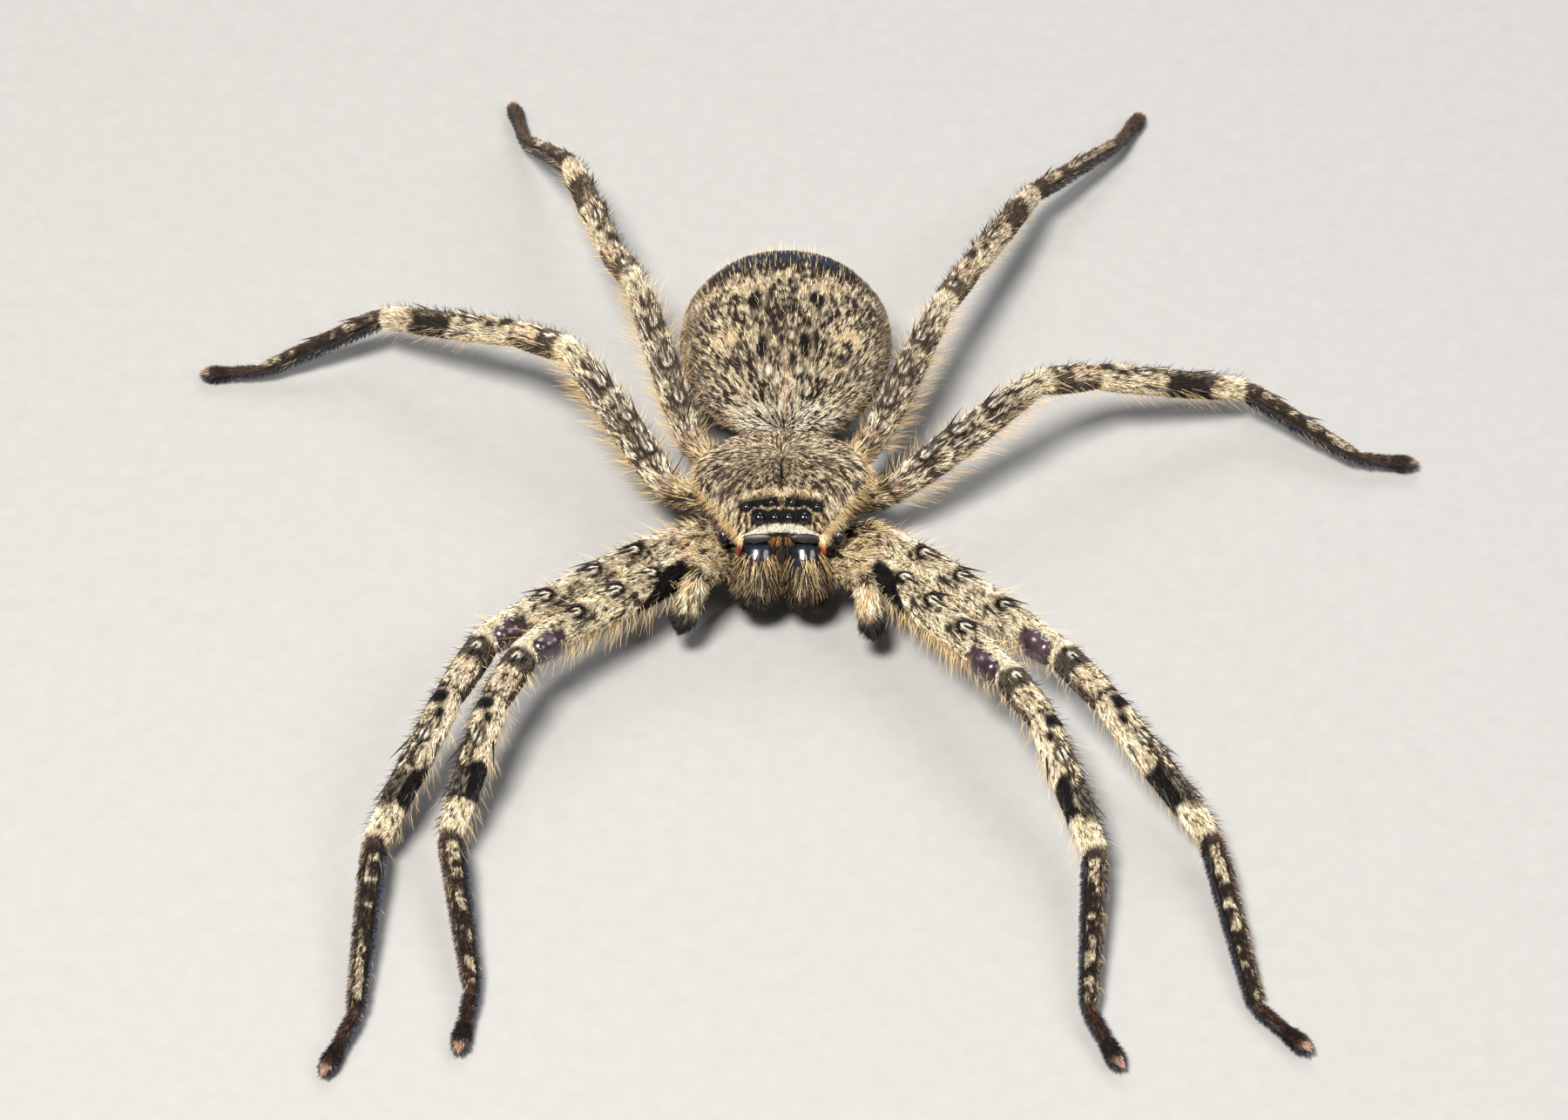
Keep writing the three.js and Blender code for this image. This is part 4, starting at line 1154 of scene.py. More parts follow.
COAT = coat_material()
SKIN = hairy_skin_material()
EYE_GLOSS = tinted_gloss("eye_gloss", linear(4, 4, 6), linear(14, 10, 15), 0.08, 900.0, 0.02, 0.3)
JAW_SHELL = tinted_gloss("jaw_shell", linear(8, 8, 11), linear(32, 34, 46), 0.2, 1500.0, 0.25, 0.5)
BARE_SKIN = tinted_gloss("bare_skin", linear(30, 20, 26), linear(66, 47, 56), 0.24, 1100.0, 0.3, 0.4)
PLATE_HORN = tinted_gloss("plate_horn", linear(10, 8, 8), linear(38, 30, 28), 0.42, 1600.0, 0.4)
RED_MEMBRANE = tinted_gloss("red_membrane", linear(120, 34, 12), linear(196, 84, 34), 0.28, 1500.0, 0.2, 0.3)
# Painted shade: the mouth parts behind the jaws are almost black
MOUTH_SHADE = tinted_gloss("mouth_shade", linear(14, 11, 11), linear(38, 28, 26), 0.6, 1500.0)
SPINE_HORN = tinted_gloss("spine_horn", linear(14, 11, 11), linear(44, 34, 30), 0.35, 2500.0)
FANG_HORN = tinted_gloss("fang_horn", linear(26, 8, 6), linear(92, 32, 20), 0.15, 1200.0, 0.1, 0.6)


# Bristles and spines grown on points by a node tree

def growth_tree(name, material):
    """A tree that puts one bent, tapered spike on each point, along the point's own direction."""
    tree = bpy.data.node_groups.new(name, "GeometryNodeTree")
    sockets = tree.interface
    sockets.new_socket("Geometry", in_out="INPUT", socket_type="NodeSocketGeometry")
    ids = {}
    for label, kind in (("Sides", "Int"), ("Steps", "Int"), ("Bend", "Float"), ("Tip share", "Float")):
        ids[label] = sockets.new_socket(label, in_out="INPUT", socket_type="NodeSocket" + kind).identifier
    sockets.new_socket("Geometry", in_out="OUTPUT", socket_type="NodeSocketGeometry")
    start = add_node(tree, "NodeGroupInput")

    def on_point(label):
        named = add_node(tree, "GeometryNodeInputNamedAttribute", {"Name": label}, data_type="FLOAT_VECTOR")
        return named["Attribute"]

    spike = add_node(tree, "GeometryNodeMeshCone", {
        "Vertices": start["Sides"], "Side Segments": start["Steps"], "Radius Top": start["Tip share"],
        "Radius Bottom": 1.0, "Depth": 1.0}, fill_type="TRIANGLE_FAN")["Mesh"]
    place = add_node(tree, "GeometryNodeInputPosition")["Position"]
    height = add_node(tree, "ShaderNodeSeparateXYZ", {"Vector": place})["Z"]
    square = add_node(tree, "ShaderNodeMath", {0: height, 1: 2.0}, operation="POWER")["Value"]
    shift = add_node(tree, "ShaderNodeMath", {0: square, 1: start["Bend"]}, operation="MULTIPLY")["Value"]
    offset = add_node(tree, "ShaderNodeCombineXYZ", {"X": shift})["Vector"]
    bent = add_node(tree, "GeometryNodeSetPosition", {"Geometry": spike, "Offset": offset})["Geometry"]
    align = "FunctionNodeAlignRotationToVector"
    aim = add_node(tree, align, {"Vector": on_point("way")}, axis="Z")["Rotation"]
    roll = add_node(tree, align, {"Rotation": aim, "Vector": on_point("bend_way")}, axis="X",
                    pivot_axis="Z")["Rotation"]
    points = add_node(tree, "GeometryNodeMeshToPoints", {"Mesh": start["Geometry"]})["Points"]
    copies = add_node(tree, "GeometryNodeInstanceOnPoints", {
        "Points": points, "Instance": bent, "Rotation": roll, "Scale": on_point("size")})["Instances"]
    real = add_node(tree, "GeometryNodeRealizeInstances", {"Geometry": copies})["Geometry"]
    dressed = add_node(tree, "GeometryNodeSetMaterial", {"Geometry": real, "Material": material})["Geometry"]
    add_node(tree, "NodeGroupOutput", {"Geometry": dressed})
    return tree, ids


def grow(name, roots, ways, bend_ways, lengths, thicks, colours, material, slot, sides=5, steps=3, bend=0.12,
         tip=0.06, places=None):
    """Spikes on given roots, as one plain mesh piece."""
    seed_mesh = bpy.data.meshes.new(name + "_roots")
    seed_mesh.vertices.add(len(roots))
    world = (np.asarray(roots, float) + MODEL_SHIFT) * MM
    seed_mesh.vertices.foreach_set("co", world.astype(np.float32).ravel())
    sizes = np.stack([thicks / 2, thicks / 2, lengths], axis=1) * MM
    for label, values in (("way", ways), ("bend_way", bend_ways), ("size", sizes)):
        layer = seed_mesh.attributes.new(label, "FLOAT_VECTOR", "POINT")
        layer.data.foreach_set("vector", np.asarray(values, np.float32).ravel())
    set_colours(seed_mesh, colours)
    host = bpy.data.objects.new(name + "_host", seed_mesh)
    bpy.context.scene.collection.objects.link(host)
    tree, ids = growth_tree(name + "_growth", material)
    modifier = host.modifiers.new("growth", "NODES")
    modifier.node_group = tree
    modifier[ids["Sides"]] = sides
    modifier[ids["Steps"]] = steps
    modifier[ids["Bend"]] = float(bend * np.mean(lengths) / (np.mean(thicks) / 2))
    modifier[ids["Tip share"]] = tip
    graph = bpy.context.evaluated_depsgraph_get()
    mesh = bpy.data.meshes.new_from_object(host.evaluated_get(graph), preserve_all_data_layers=True,
                                           depsgraph=graph)
    host.modifiers.remove(modifier)
    bpy.data.objects.remove(host)
    mesh.name = name
    if places is not None:
        spike_points = len(mesh.vertices) // len(roots)
        bake_map_for_spikes(mesh, np.repeat(places, spike_points, axis=0), spike_points)
    finished_piece(name, mesh)


def bake_map_for_spikes(mesh, places, spike_points):
    """Each spike is a small patch at its root's place on the skin's unwrap."""
    layer = mesh.uv_layers.get("OFBake") or mesh.uv_layers.new(name="OFBake")
    index = np.zeros(len(mesh.loops), np.int32)
    mesh.loops.foreach_get("vertex_index", index)
    turn = (index % spike_points) / spike_points * 2 * np.pi
    offset = np.stack([np.cos(turn), np.sin(turn)], axis=1) * SPIKE_PATCH
    uv = places[index] + offset
    layer.data.foreach_set("uv", uv.astype(np.float32).ravel())
    layer.active = True


# The sleeves, each with a tile of its own on the unwrap of the piece that wears it

FULL = (0.0, 0.0, 1.0, 1.0)


def grid_tile(k, columns, rows):
    return (k % columns / columns, k // columns / rows, 1 / columns, 1 / rows)


legs = {}
for index, (side_name, number) in enumerate((s, n) for s in SIDES for n in LEG_LENGTHS):
    legs[side_name, number] = build_leg_sleeve(side_name, number, grid_tile(index, 5, 4))
carapace = carapace_sleeve(grid_tile(8, 5, 4))
abdomen = abdomen_sleeve(grid_tile(9, 5, 4))
sternum = sternum_sleeve(grid_tile(10, 5, 4))
stalk = stalk_sleeve(grid_tile(11, 5, 4))
spinnerets = spinneret_sleeves([grid_tile(k, 5, 4) for k in range(12, 17)])
palps = {name: palp_sleeve(name, grid_tile(17 + k, 5, 4)) for k, name in enumerate(SIDES)}
jaws = {name: jaw_sleeve(name, grid_tile(k, 2, 1)) for k, name in enumerate(SIDES)}


def build_skin():
    parts = [("carapace", carapace), ("sternum", sternum), ("abdomen", abdomen), ("stalk", stalk)]
    parts += [(f"leg{number}", sleeve) for (_, number), sleeve in legs.items()]
    parts += [("palp", sleeve) for sleeve in palps.values()]
    parts += [("sternum", sleeve) for sleeve in spinnerets]
    skin = skin_piece("skin", parts, SKIN)
    nodes = ["carapace", "sternum", "abdomen", "spinnerets"]
    for name in SIDES:
        nodes += [f"{name}_palp_upper", f"{name}_palp_lower"]
        for number in LEG_LENGTHS:
            nodes += [f"{name}_leg_{number}_{part}" for part in LEG_NODES]
    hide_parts(*nodes)


def build_jaws():
    shell = skin_piece("jaw_shells", [("jaw", jaw) for jaw in jaws.values()], JAW_SHELL)
    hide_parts("left_chelicera", "right_chelicera")
    parts = []
    for k, side in enumerate(SIDES.values()):
        joints = [on_both_sides(point, side) for point in FANG_LINE]
        fang = sleeve_along(joints, FANG_STATIONS, side, grid_tile(k, 2, 1), depth=0.02,
                            step=0.05, around=20, soft=0.25, sunk=0.4)
        parts.append(("sternum", fang))
    fangs = skin_piece("fangs", parts, FANG_HORN)
    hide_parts("left_fang", "right_fang")


def build_eyes():
    turn = np.linspace(0.03, np.pi - 0.03, 24)[:, None]
    angle = np.arange(32) / 32 * 2 * np.pi
    ball = np.stack([np.sin(turn) * np.cos(angle), np.sin(turn) * np.sin(angle),
                     np.cos(turn) * np.ones(len(angle))], axis=-1)
    for name, side in SIDES.items():
        for eye, (x, y, z, radius) in EYES.items():
            radius = radius * (REAR_SIDE_EYE_FIT if eye == "rear_side_eye" else EYE_FIT)
            sleeve = Sleeve(np.array([side * x, y, z - EYE_SINK]) + ball * radius, FULL)
            piece = skin_piece(f"{name}_{eye}_lens", [("sternum", sleeve)], EYE_GLOSS)
            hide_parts(f"{name}_{eye}")


# The coat

def detail():
    """Share of the hairs that is built: all of them."""
    return 1.0


def scaled_count(count):
    return max(FEWEST_TUFTS, int(count * detail()))


def body_style(length, width, lift):
    def style(root, u, v, draw):
        count = len(root)
        return (length * draw.uniform(0.75, 1.25, count), width * draw.uniform(0.8, 1.25, count),
                np.radians(lift) * draw.uniform(0.5, 1.5, count))
    return style


def leg_style(sleeve):
    def style(root, u, v, draw):
        count = len(root)
        segment = on_sleeve(sleeve, v)[0]
        sole = (segment >= METATARSUS) & (np.abs(signed_degrees(u)) > SOLE_DEGREES)
        length = np.where(sole, SOLE_LENGTH, np.choose(segment, LEG_TUFT_LENGTHS))
        length = length * draw.uniform(0.75, 1.25, count)
        width = np.choose(segment, LEG_TUFT_WIDTHS) * draw.uniform(0.8, 1.25, count)
        lift = np.radians(np.choose(segment, LEG_TUFT_LIFTS)) * draw.uniform(0.5, 1.6, count)
        lift = np.where(sole, np.radians(SOLE_LIFT) * draw.uniform(0.8, 1.2, count), lift)
        return length, width, lift
    return style


def leg_weight(sleeve, number):
    def weight(u, v, middle):
        shape = u.shape
        segment, share, length, _ = on_sleeve(sleeve, v.ravel())
        degrees = signed_degrees(u.ravel())
        sunk = (segment == COXA) & (share < 0.3)
        chance = np.where(sunk, 0.1, 1.0) * (1 - 0.45 * ramp(np.abs(degrees), 110, 150))
        if number in (1, 2):
            chance = chance * (1 - bare_knee(segment, share, length, degrees))
        chance = np.where(segment >= METATARSUS, chance * 1.3, chance)
        return chance.reshape(shape)
    return weight


def build_leg_coats():
    for index, ((side_name, number), sleeve) in enumerate(legs.items()):
        draw = np.random.default_rng(LEG_SEED + index)
        whole = sleeve.on_tile(FULL)
        batch = tufts(whole, f"leg{number}", scaled_count(LEG_TUFTS[number]), draw, leg_style(whole),
                      leg_weight(whole, number))
        coat_piece(f"coat_{side_name}_leg_{number}", [batch])


def carapace_lie(root, normal, lie, u, v):
    """Hair runs forward, and fans out to the rim from the middle groove."""
    away = root - np.array([0.0, 0.9, 7.0])
    forward = np.array([0.0, -1.0, 0.0])
    share = ramp(root[:, 1], -1.5, 3.0)[:, None]
    return forward * (1 - 0.4 * share) + unit(away * np.array([1, 1, 0.3])) * (0.35 + 0.5 * share)


def carapace_weight(u, v, middle):
    """Hair grows over the top, but not on the face's bare front, the eyes, their band and the slits."""
    x, y, z = middle[..., 0], middle[..., 1], middle[..., 2]
    across = np.abs(x)
    chance = ramp(z, 4.9, 5.0)
    chance = chance * (1 + 2.0 * band(y, SLIT_REAR, SLIT_REAR + 0.5, 0.05))
    chance = np.where((y + 0.05 * x ** 2 < WHITE_FRONT + 0.06) & (across < 2.35), 0.0, chance)
    eyes = np.zeros_like(x)
    for place in EYES.values():
        away = np.sqrt((across - place[0]) ** 2 + (y - place[1]) ** 2 + (z - place[2]) ** 2)
        eyes = np.maximum(eyes, 1 - ramp(away, place[3] + 0.03, place[3] + 0.1))
    return chance * (1 - eyes) * (1 - 0.99 * slit_depth(across, y)) * (1 - 0.97 * eye_band(across, y))


def carapace_style(root, u, v, draw):
    count = len(root)
    y = root[:, 1]
    face = 1 - ramp(y, -2.9, -2.2)
    length = (0.4 - 0.14 * face) * draw.uniform(0.75, 1.25, count)
    width = (0.055 - 0.01 * face) * draw.uniform(0.8, 1.25, count)
    across = np.abs(root[:, 0])
    behind = (across < SLIT_OUTER + 0.1) & (y > SLIT_REAR - 0.05)
    length = np.where(behind, np.minimum(length, 0.1 + 0.75 * (y - SLIT_REAR)), length)
    brow = (across < SLIT_OUTER) & (y < SLIT_FRONT + 0.05) & (y > EYE_BAND_REAR - 0.05)
    length = np.where(brow, np.minimum(length, 0.12 + 0.6 * (y - EYE_BAND_REAR)), length)
    length = np.where(y < EYE_BAND_FRONT, 0.2, length)
    lift = np.radians(15 + 8 * face) * draw.uniform(0.5, 1.6, count)
    return length, width, lift


def build_carapace_coat():
    draw = np.random.default_rng(CARAPACE_SEED)
    whole = carapace.on_tile(FULL)
    batch = tufts(whole, "carapace", scaled_count(CARAPACE_TUFTS), draw, carapace_style, carapace_weight,
                  carapace_lie, dark_share=0.34)
    coat_piece("coat_carapace", [batch])


def abdomen_lie(root, normal, lie, u, v):
    """Hair runs to the rear, and a little outward."""
    return (root - ABDOMEN_CENTRE) * (0.1, 0.0, 0.06) + (0.0, 1.0, 0.0)


def abdomen_half_weight(side):
    def weight(u, v, middle):
        local = middle - ABDOMEN_CENTRE
        here = (local[..., 0] * side >= 0).astype(float)
        for mark_x, mark_y, wide, long in SIGILLA:
            d = np.hypot((local[..., 0] - mark_x) / wide, (local[..., 1] + 0.2 - mark_y) / long)
            here = here * np.where((d < 0.9) & (local[..., 2] > 0), 0.15, 1.0)
        return here * (1 - 0.5 * ramp(-local[..., 2], 1.5, 3.2))
    return weight


def build_abdomen_coat():
    for name, side in SIDES.items():
        draw = np.random.default_rng(ABDOMEN_SEED + side)
        whole = abdomen.on_tile(FULL)
        batch = tufts(whole, "abdomen", scaled_count(ABDOMEN_HALF_TUFTS), draw, body_style(0.38, 0.068, 18),
                      abdomen_half_weight(side), abdomen_lie)
        coat_piece(f"coat_abdomen_{name}", [batch])


def jaw_weight(u, v, middle):
    return ramp(v, 0.2, 0.5) + 0.015


def jaw_style(root, u, v, draw):
    count = len(root)
    lower = ramp(v, 0.6, 0.85)
    length = (0.95 - 0.35 * lower) * draw.uniform(0.7, 1.3, count)
    width = 0.085 * draw.uniform(0.7, 1.2, count)
    lift = np.radians(17 + 8 * lower) * draw.uniform(0.4, 1.7, count)
    return length, width, lift


def build_face_coat():
    batches = []
    for k, name in enumerate(SIDES):
        draw = np.random.default_rng(FACE_SEED + k)
        jaw = jaws[name].on_tile(grid_tile(k, 2, 3))
        batches.append(tufts(jaw, "jaw", scaled_count(JAW_TUFTS), draw, jaw_style, jaw_weight))
        palp = palps[name].on_tile(grid_tile(2 + k, 2, 3))
        batches.append(tufts(palp, "palp", scaled_count(PALP_TUFTS), draw, body_style(0.5, 0.07, 22)))
    draw = np.random.default_rng(UNDERSIDE_SEED)
    plate = sternum.on_tile(grid_tile(4, 2, 3))
    batches.append(tufts(plate, "sternum", scaled_count(STERNUM_TUFTS), draw, body_style(0.5, 0.08, 18)))
    for k, tube in enumerate(spinnerets):
        small = tube.on_tile(grid_tile(50 + k, 10, 6))
        batches.append(tufts(small, "sternum", scaled_count(SPINNERET_TUFTS), draw,
                             body_style(0.4, 0.07, 20)))
    coat_piece("coat_face_and_underside", batches)


# Spines and long hairs of the legs

def leg_root(sleeve, segment, place, degrees):
    """Skin point, outward and footward directions at a place on a leg."""
    about = sleeve.about
    rows = np.where(about["segment"] == segment)[0]
    row = rows[np.argmin(np.abs(about["share"][rows] - place))]
    column = int(round((degrees % 360) / 360 * sleeve.around)) % sleeve.around
    return sleeve.points[row, column], sleeve.normals[row, column], about["ahead"][row]


def grow_horn(name, spikes, thick, colour, **shape):
    """Spikes of dark horn. Each is its root, way, bend and length."""
    roots, ways, bends, lengths = (np.array(part) for part in zip(*spikes))
    count = len(roots)
    grow(name, roots, ways, bends, lengths, np.full(count, thick), np.tile(colour, (count, 1)), SPINE_HORN,
         "spine_horn", sides=6, steps=4, **shape)


def build_spines():
    spikes = []
    draw = np.random.default_rng(SPINE_SEED)
    for (_, number), sleeve in legs.items():
        for segment, spines in LEG_SPINES.items():
            for place, degrees, length in spines:
                root, normal, ahead = leg_root(sleeve, segment, place, degrees)
                lean = math.radians(SPINE_LEAN + draw.uniform(-6, 6))
                way = ahead * math.cos(lean) + normal * math.sin(lean)
                spikes.append((root - way * 0.12, way, ahead, (length + 0.12) * LEG_THICK[number]))
    grow_horn("leg_spines", spikes, 0.2, BLACK, bend=0.05, tip=0.05)


def hair_batch(sleeve, rows, degrees, lean, length, thick, colours, draw, pull=None):
    """Roots, directions, sizes and colours of long hairs on a sleeve, one for each row and degree."""
    column = np.rint(degrees % 360 / 360 * sleeve.around).astype(int) % sleeve.around
    normal = sleeve.normals[rows, column]
    lie = sleeve.along[rows, column]
    if pull is not None:
        lie = unit(pull(sleeve.points[rows, column], lie))
    across = np.cross(normal, lie)
    sway = draw.normal(0, 0.2, len(rows))[:, None]
    lie = unit(lie * np.cos(sway) + across * np.sin(sway))
    way = lie * np.cos(lean)[:, None] + normal * np.sin(lean)[:, None]
    height = sleeve.points[rows, column, 2]
    rise = np.clip(way[:, 2], (LOWEST_TIP - height) / length, (HIGHEST_TIP - height) / length)
    level = way[:, :2] / np.linalg.norm(way[:, :2], axis=1, keepdims=True)
    way = np.column_stack([level * np.sqrt(1 - rise ** 2)[:, None], rise])
    place = sleeve.tile_place(column / sleeve.around, rows / (sleeve.rings - 1))
    return sleeve.points[rows, column] - way * 0.06, way, lie, length, thick, colours, place


def grow_batches(name, batches, slot, bend, tip=0.2):
    """Batches of long hairs as one piece of the coat."""
    *spikes, places = (np.concatenate(part) for part in zip(*batches))
    grow(name, *spikes, COAT, slot, sides=3, steps=2, bend=bend, tip=tip, places=places)


def between(colour_a, colour_b, draw, count):
    """Random colours between two."""
    return colour_a + (colour_b - colour_a) * draw.random((count, 1))


def leg_hairs(sleeve, kind, draw, colours, times=1.0):
    """Hairs of one kind along one segment of a leg."""
    segment, count, sides_degrees, spread, lean, length, thick = kind
    count = int(count * times)
    rows = draw.choice(np.where(sleeve.about["segment"] == segment)[0], count)
    degrees = draw.choice(sides_degrees, count) + draw.normal(0, spread, count)
    lean = np.radians(draw.uniform(*lean, count))
    return hair_batch(sleeve, rows, degrees, lean, length * draw.uniform(0.6, 1.3, count),
                      thick * draw.uniform(0.8, 1.2, count), between(*colours, draw, count), draw)


def build_fringe():
    """Long golden hairs along the legs' lower edges, and short dark bristles along their rear edges."""
    gold = (blend(GOLD, STRAW, 0.4), blend(GOLD, CREAM, 0.75))
    for k, side_name in enumerate(SIDES):
        draw = np.random.default_rng(FRINGE_SEED + k)
        golden, bristles = [], []
        for number in LEG_LENGTHS:
            sleeve = legs[side_name, number]
            own = sleeve.on_tile(grid_tile(number - 1, 2, 2))
            for kind in GOLDEN_FRINGE:
                times = REAR_FEMUR_FRINGE if number > 2 and kind[0] == FEMUR else 1.0
                golden.append(leg_hairs(own, kind, draw, gold, times))
            bristles += [leg_hairs(own, kind, draw, (BLACK, BROWN)) for kind in DARK_BRISTLES]
            golden.append(leg_hairs(own, COXA_FRINGE, draw, (GOLD, PALE)))
        grow_batches(f"golden_fringe_{side_name}", golden, "leg_hair", bend=0.22, tip=0.2)
        grow_batches(f"dark_bristles_{side_name}", bristles, "leg_hair", bend=0.1, tip=0.15)


def build_body_hairs():
    """Short erect hairs at the outline of the abdomen, and the golden margin of the carapace."""
    draw = np.random.default_rng(BODY_HAIR_SEED)
    count = 1500
    own = abdomen.on_tile(grid_tile(0, 2, 1))
    rows = draw.integers(8, own.rings - 6, count)
    degrees = draw.uniform(-115, 115, count)
    batches = [hair_batch(own, rows, degrees, np.radians(draw.uniform(40, 80, count)),
                          0.75 * draw.uniform(0.5, 1.2, count), np.full(count, 0.026),
                          between(blend(GOLD, GREY, 0.4), CREAM, draw, count), draw)]
    count = 900
    own = carapace.on_tile(grid_tile(1, 2, 1))
    rows = draw.integers(4, own.rings - 8, count)
    rim_columns = np.concatenate([draw.integers(0, 9, count // 2),
                                  draw.integers(ARCH_POINTS - 8, ARCH_POINTS + 1, count - count // 2)])

    def outward(root, lie):
        return root * (0.35, 0, 0) + (0, -1.0, -0.5)

    batches.append(hair_batch(own, rows, rim_columns / own.around * 360,
                              np.radians(draw.uniform(15, 55, count)),
                              0.62 * draw.uniform(0.5, 1.3, count), np.full(count, 0.04),
                              between(blend(GOLD, BROWN, 0.35), CREAM, draw, count), draw, outward))
    grow_batches("body_hairs", batches, "abdomen_hair", bend=0.15)


def build_jaw_bristles():
    """Coarse bristles that run down the jaws and palps, gold and brown above and dark below."""
    batches = []
    for k, (name, side) in enumerate(SIDES.items()):
        draw = np.random.default_rng(JAW_BRISTLE_SEED + k)
        own = jaws[name].on_tile(grid_tile(k, 2, 2))
        count = 1500
        rows = (own.rings * (0.2 + 0.77 * draw.random(count) ** 0.9)).astype(int)
        degrees = draw.uniform(-130, 130, count)
        low = ramp(rows / own.rings, 0.5, 0.7)
        warm = between(blend(BROWN, GOLD, 0.3), blend(STRAW, CREAM, 0.4), draw, count)
        warm = np.where(draw.random((count, 1)) < 0.52, DARK, warm)

        def flare(root, lie, outward=0.16 * side):
            return lie + np.array([outward, 0, 0]) * (np.abs(root[:, :1]) > 1.6)

        batches.append(hair_batch(own, rows, degrees, np.radians(draw.uniform(8, 34, count)),
                                  (1.15 - 0.35 * low) * draw.uniform(0.6, 1.2, count), np.full(count, 0.045),
                                  mix(warm, blend(DARK, TAUPE, 0.1), low), draw, flare))
        own = palps[name].on_tile(grid_tile(2 + k, 2, 2))
        count = 500
        rows = draw.integers(4, own.rings - 2, count)
        tip = ramp(rows / own.rings, 0.72, 0.85)
        colours = mix(between(STRAW, PALE, draw, count), DARK, np.maximum(tip, draw.random(count) < 0.35))
        batches.append(hair_batch(own, rows, draw.uniform(-150, 150, count),
                                  np.radians(draw.uniform(15, 55, count)),
                                  0.7 * draw.uniform(0.6, 1.2, count), np.full(count, 0.038), colours, draw))
    grow_batches("jaw_bristles", batches, "jaw_bristle", bend=0.12)


def build_face_tufts():
    """Orange-brown hairs that part in the middle under the white band, and golden ones at its ends."""
    draw = np.random.default_rng(FACE_TUFT_SEED)
    batches = []

    def tuft(count, low, high, way, spread, length, colours):
        count = int(count * detail())
        roots = draw.uniform(low, high, (count, 3))
        ways = unit(unit(way(roots)) + draw.normal(0, spread, (count, 3)))
        places = np.stack([0.5 + roots[:, 0] / CARAPACE_WIDTH, 0.1 - roots[:, 1] / 50], axis=1)
        batches.append((roots, ways, np.tile(-UP, (count, 1)), length * draw.uniform(0.6, 1.2, count),
                        np.full(count, 0.034), between(*colours, draw, count), places))

    def parting(roots):
        return roots * (0.9, 0, 0) + (0, -0.6, -0.75)

    def straight(*way):
        return lambda roots: np.tile(way, (len(roots), 1))

    tuft(95, (-0.6, -4.33, 5.95), (0.6, -4.05, 6.1), parting, 0.26, 0.55, (DARK, blend(RUST, GOLD, 0.4)))
    tuft(230, (-0.55, -4.5, 4.7), (0.55, -4.2, 5.8), straight(0, -0.45, -0.9), 0.26, 1.0, (BLACK, BROWN))
    for side in SIDES.values():
        low, high = sorted((side * 2.15, side * 2.42))
        tuft(150, (low, -4.3, 5.75), (high, -3.75, 6.0), straight(side * 0.3, -0.5, -0.8), 0.2, 0.5,
             (GOLD, WHITE_HAIR))
    grow_batches("face_tufts", batches, "jaw_bristle", bend=0.15)


def build_erect_bristles():
    """Stiff black bristles that stand up from the thighs of the two rear pairs."""
    spikes = []
    for side_name in SIDES:
        for number, place, degrees, length in ERECT_BRISTLES:
            root, normal, ahead = leg_root(legs[side_name, number], FEMUR, place, degrees)
            way = unit(normal * 0.95 + ahead * 0.25)
            spikes.append((root - way * 0.1, way, ahead, length))
    grow_horn("erect_bristles", spikes, 0.1, BLACK, bend=0.12, tip=0.15)


def build_claws():
    """Two small curved claws at the tip of each foot."""
    spikes = []
    for sleeve in legs.values():
        centre, ahead, front = (sleeve.about[part][-1] for part in ("centre", "ahead", "front"))
        for across in (-1, 1):
            way = unit(ahead + front * 0.3 * across + UP * 0.2)
            spikes.append((centre + front * 0.12 * across - ahead * 0.1, way, -UP, 0.42))
    grow_horn("claws", spikes, 0.1, DARK, bend=0.35, tip=0.1)


def dome(centre, pole, across, along, tile, rings=24, around=32, ridges=0, ridge_depth=0.0):
    """A closed rounded form on three axes. Its rings can carry ridges."""
    turn = np.linspace(0.03, np.pi - 0.03, rings)
    angle = np.arange(around) / around * 2 * np.pi
    ring = (np.sin(turn) * (1 + ridge_depth * np.sin(turn * ridges)))[:, None, None]
    points = (np.asarray(centre) + np.asarray(pole) * np.cos(turn)[:, None, None]
              + np.asarray(across) * ring * np.cos(angle)[None, :, None]
              + np.asarray(along) * ring * np.sin(angle)[None, :, None])
    return Sleeve(points, tile)


def build_knee_skin():
    """Bare wrinkled bulges on the front of the knees of the first two pairs."""
    parts = []
    for k, (side_name, number) in enumerate((s, n) for s in SIDES for n in (1, 2)):
        sleeve = legs[side_name, number]
        row = np.where(sleeve.about["segment"] == FEMUR)[0][-1]
        ahead, front, high = (sleeve.about[part][row] for part in ("ahead", "front", "high"))
        out = unit(front * 0.93 - high * 0.36)
        across = unit(np.cross(out, ahead))
        centre = sleeve.about["centre"][row] - ahead * 0.62 + out * 0.44
        bulge = dome(centre, ahead * 1.55, out * 0.84, across * 0.98, grid_tile(k, 2, 2),
                     rings=64, around=40, ridges=8, ridge_depth=0.06)
        parts.append(("sternum", bulge))
    skin_piece("knee_skin", parts, BARE_SKIN)


def build_face_parts():
    """The bare parts round the jaws, as mirrored pairs, and behind them the mouth parts, painted very dark
    as the shade between the jaws and palps.
    """
    paired = (("face_plates", FACE_PLATE, PLATE_HORN), ("side_balls", SIDE_BALL, JAW_SHELL),
              ("side_strips", SIDE_STRIP, BARE_SKIN), ("red_strips", RED_STRIP, RED_MEMBRANE))
    for name, shape, material in paired:
        parts = []
        for k, side in enumerate(SIDES.values()):
            sizes = [on_both_sides(part, side) for part in shape]
            parts.append(("sternum", dome(*sizes, grid_tile(k, 2, 1))))
        skin_piece(name, parts, material)
    # The mouth parts, painted very dark as the shade between the jaws and palps
    skin_piece("mouth", [("sternum", dome(*MOUTH, FULL))], MOUTH_SHADE)


# Studio

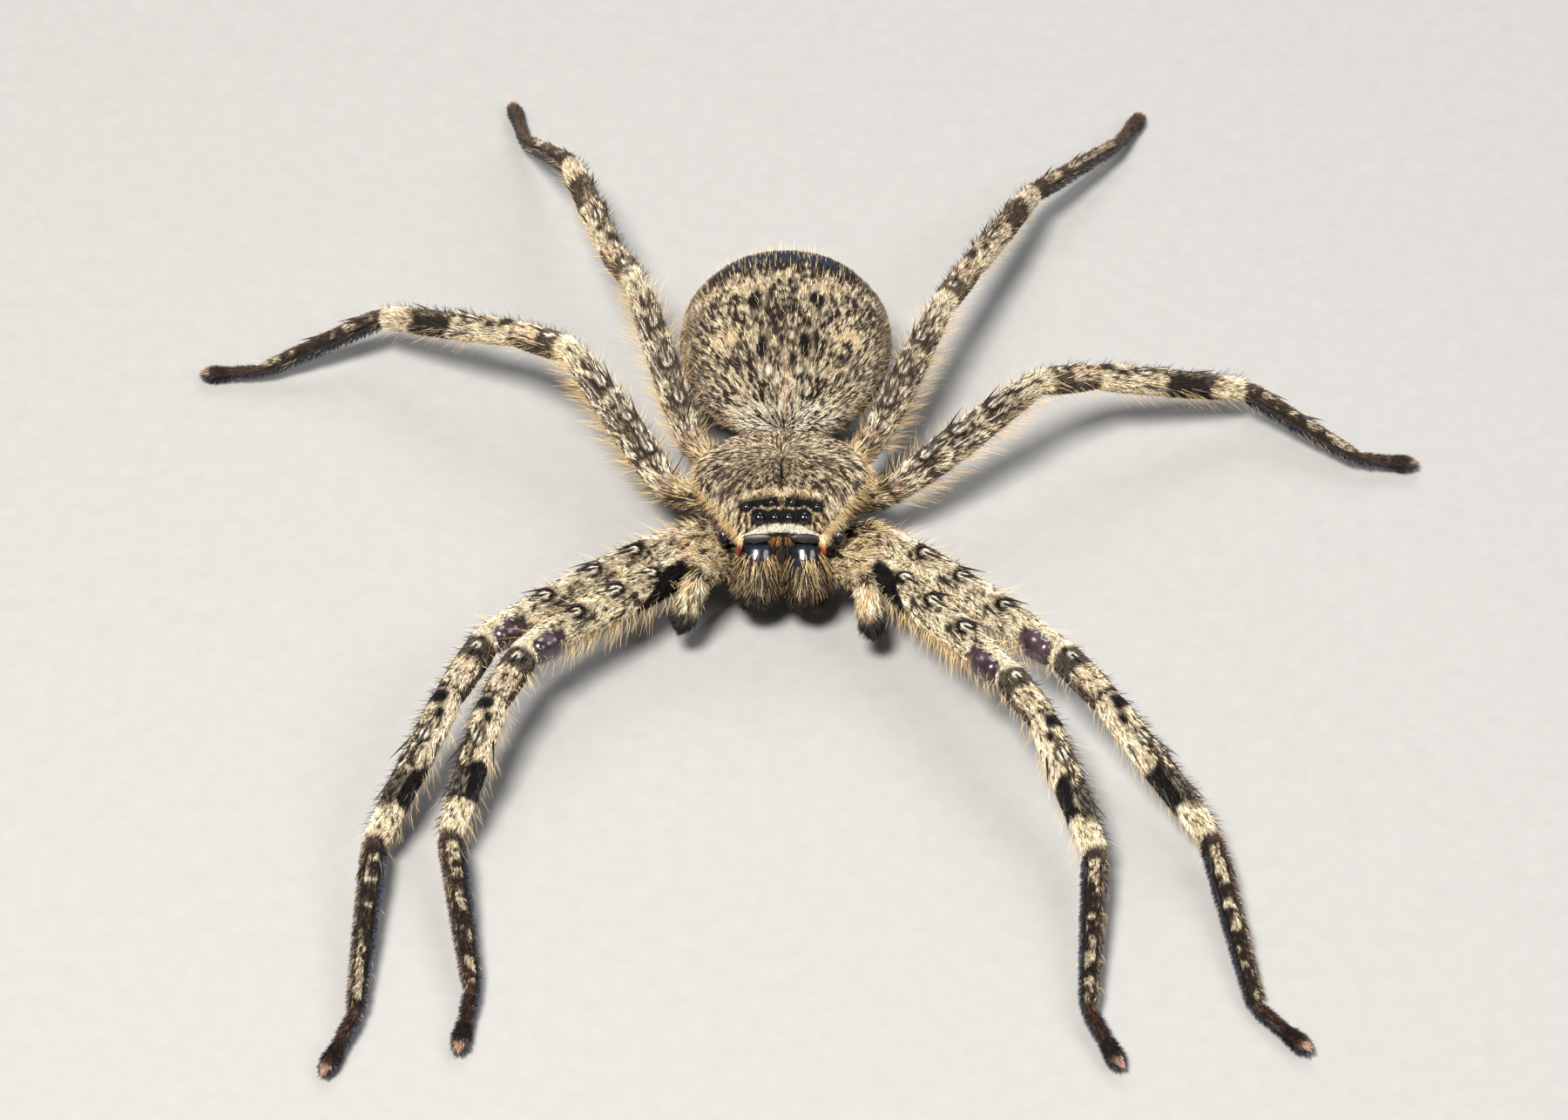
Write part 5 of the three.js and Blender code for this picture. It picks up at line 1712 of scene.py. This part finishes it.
def build_studio():
    """A plain pale floor under soft light."""
    mesh = bpy.data.meshes.new("floor")
    corners = [(x * FLOOR_REACH, y * FLOOR_REACH, 0) for x, y in ((-1, -1), (1, -1), (1, 1), (-1, 1))]
    mesh.from_pydata(corners, [], [(0, 1, 2, 3)])
    floor = bpy.data.objects.new("floor", mesh)
    bpy.context.scene.collection.objects.link(floor)
    material, tree, shader = new_material("studio_floor", 0.75, 0.2)
    tint(tree, shader, object_noise(tree, 900.0), FLOOR_TONES)
    mesh.materials.append(material)
    world = bpy.data.worlds.new("studio")
    bpy.context.scene.world = world
    world.use_nodes = True
    world.node_tree.nodes["Background"].inputs["Color"].default_value = (0.95, 0.97, 1.0, 1)
    world.node_tree.nodes["Background"].inputs["Strength"].default_value = ROOM_LIGHT
    bpy.context.scene.view_settings.view_transform = "Standard"
    for lamp in LAMPS:
        add_lamp(*lamp)


def add_lamp(name, place, size, watts, colour):
    data = bpy.data.lights.new(name, "AREA")
    data.shape = "DISK"
    data.size = size
    data.energy = watts
    data.color = colour
    lamp = bpy.data.objects.new(name, data)
    lamp.location = place
    aim = Vector(LAMP_AIM) - Vector(place)
    lamp.rotation_euler = aim.to_track_quat("-Z", "Y").to_euler()
    bpy.context.scene.collection.objects.link(lamp)


def build_camera():
    rise = math.radians(CAMERA_RISE)
    view_way = np.array([0.0, math.cos(rise), -math.sin(rise)])
    target = (CAMERA_AIM + MODEL_SHIFT) * MM
    place = target - view_way * CAMERA_DISTANCE * MM
    data = bpy.data.cameras.new("camera")
    data.sensor_width = 36.0
    data.lens = CAMERA_LENS
    data.clip_start = 0.01
    camera = bpy.data.objects.new("camera", data)
    camera.location = place
    camera.rotation_euler = Vector(view_way).to_track_quat("-Z", "Y").to_euler()
    bpy.context.scene.collection.objects.link(camera)
    bpy.context.scene.camera = camera


for build in (build_camera, build_studio, build_skin, build_jaws, build_eyes, build_face_parts,
              build_knee_skin, build_leg_coats, build_carapace_coat, build_abdomen_coat, build_face_coat,
              build_spines, build_erect_bristles, build_claws, build_fringe, build_body_hairs,
              build_jaw_bristles, build_face_tufts):
    build()
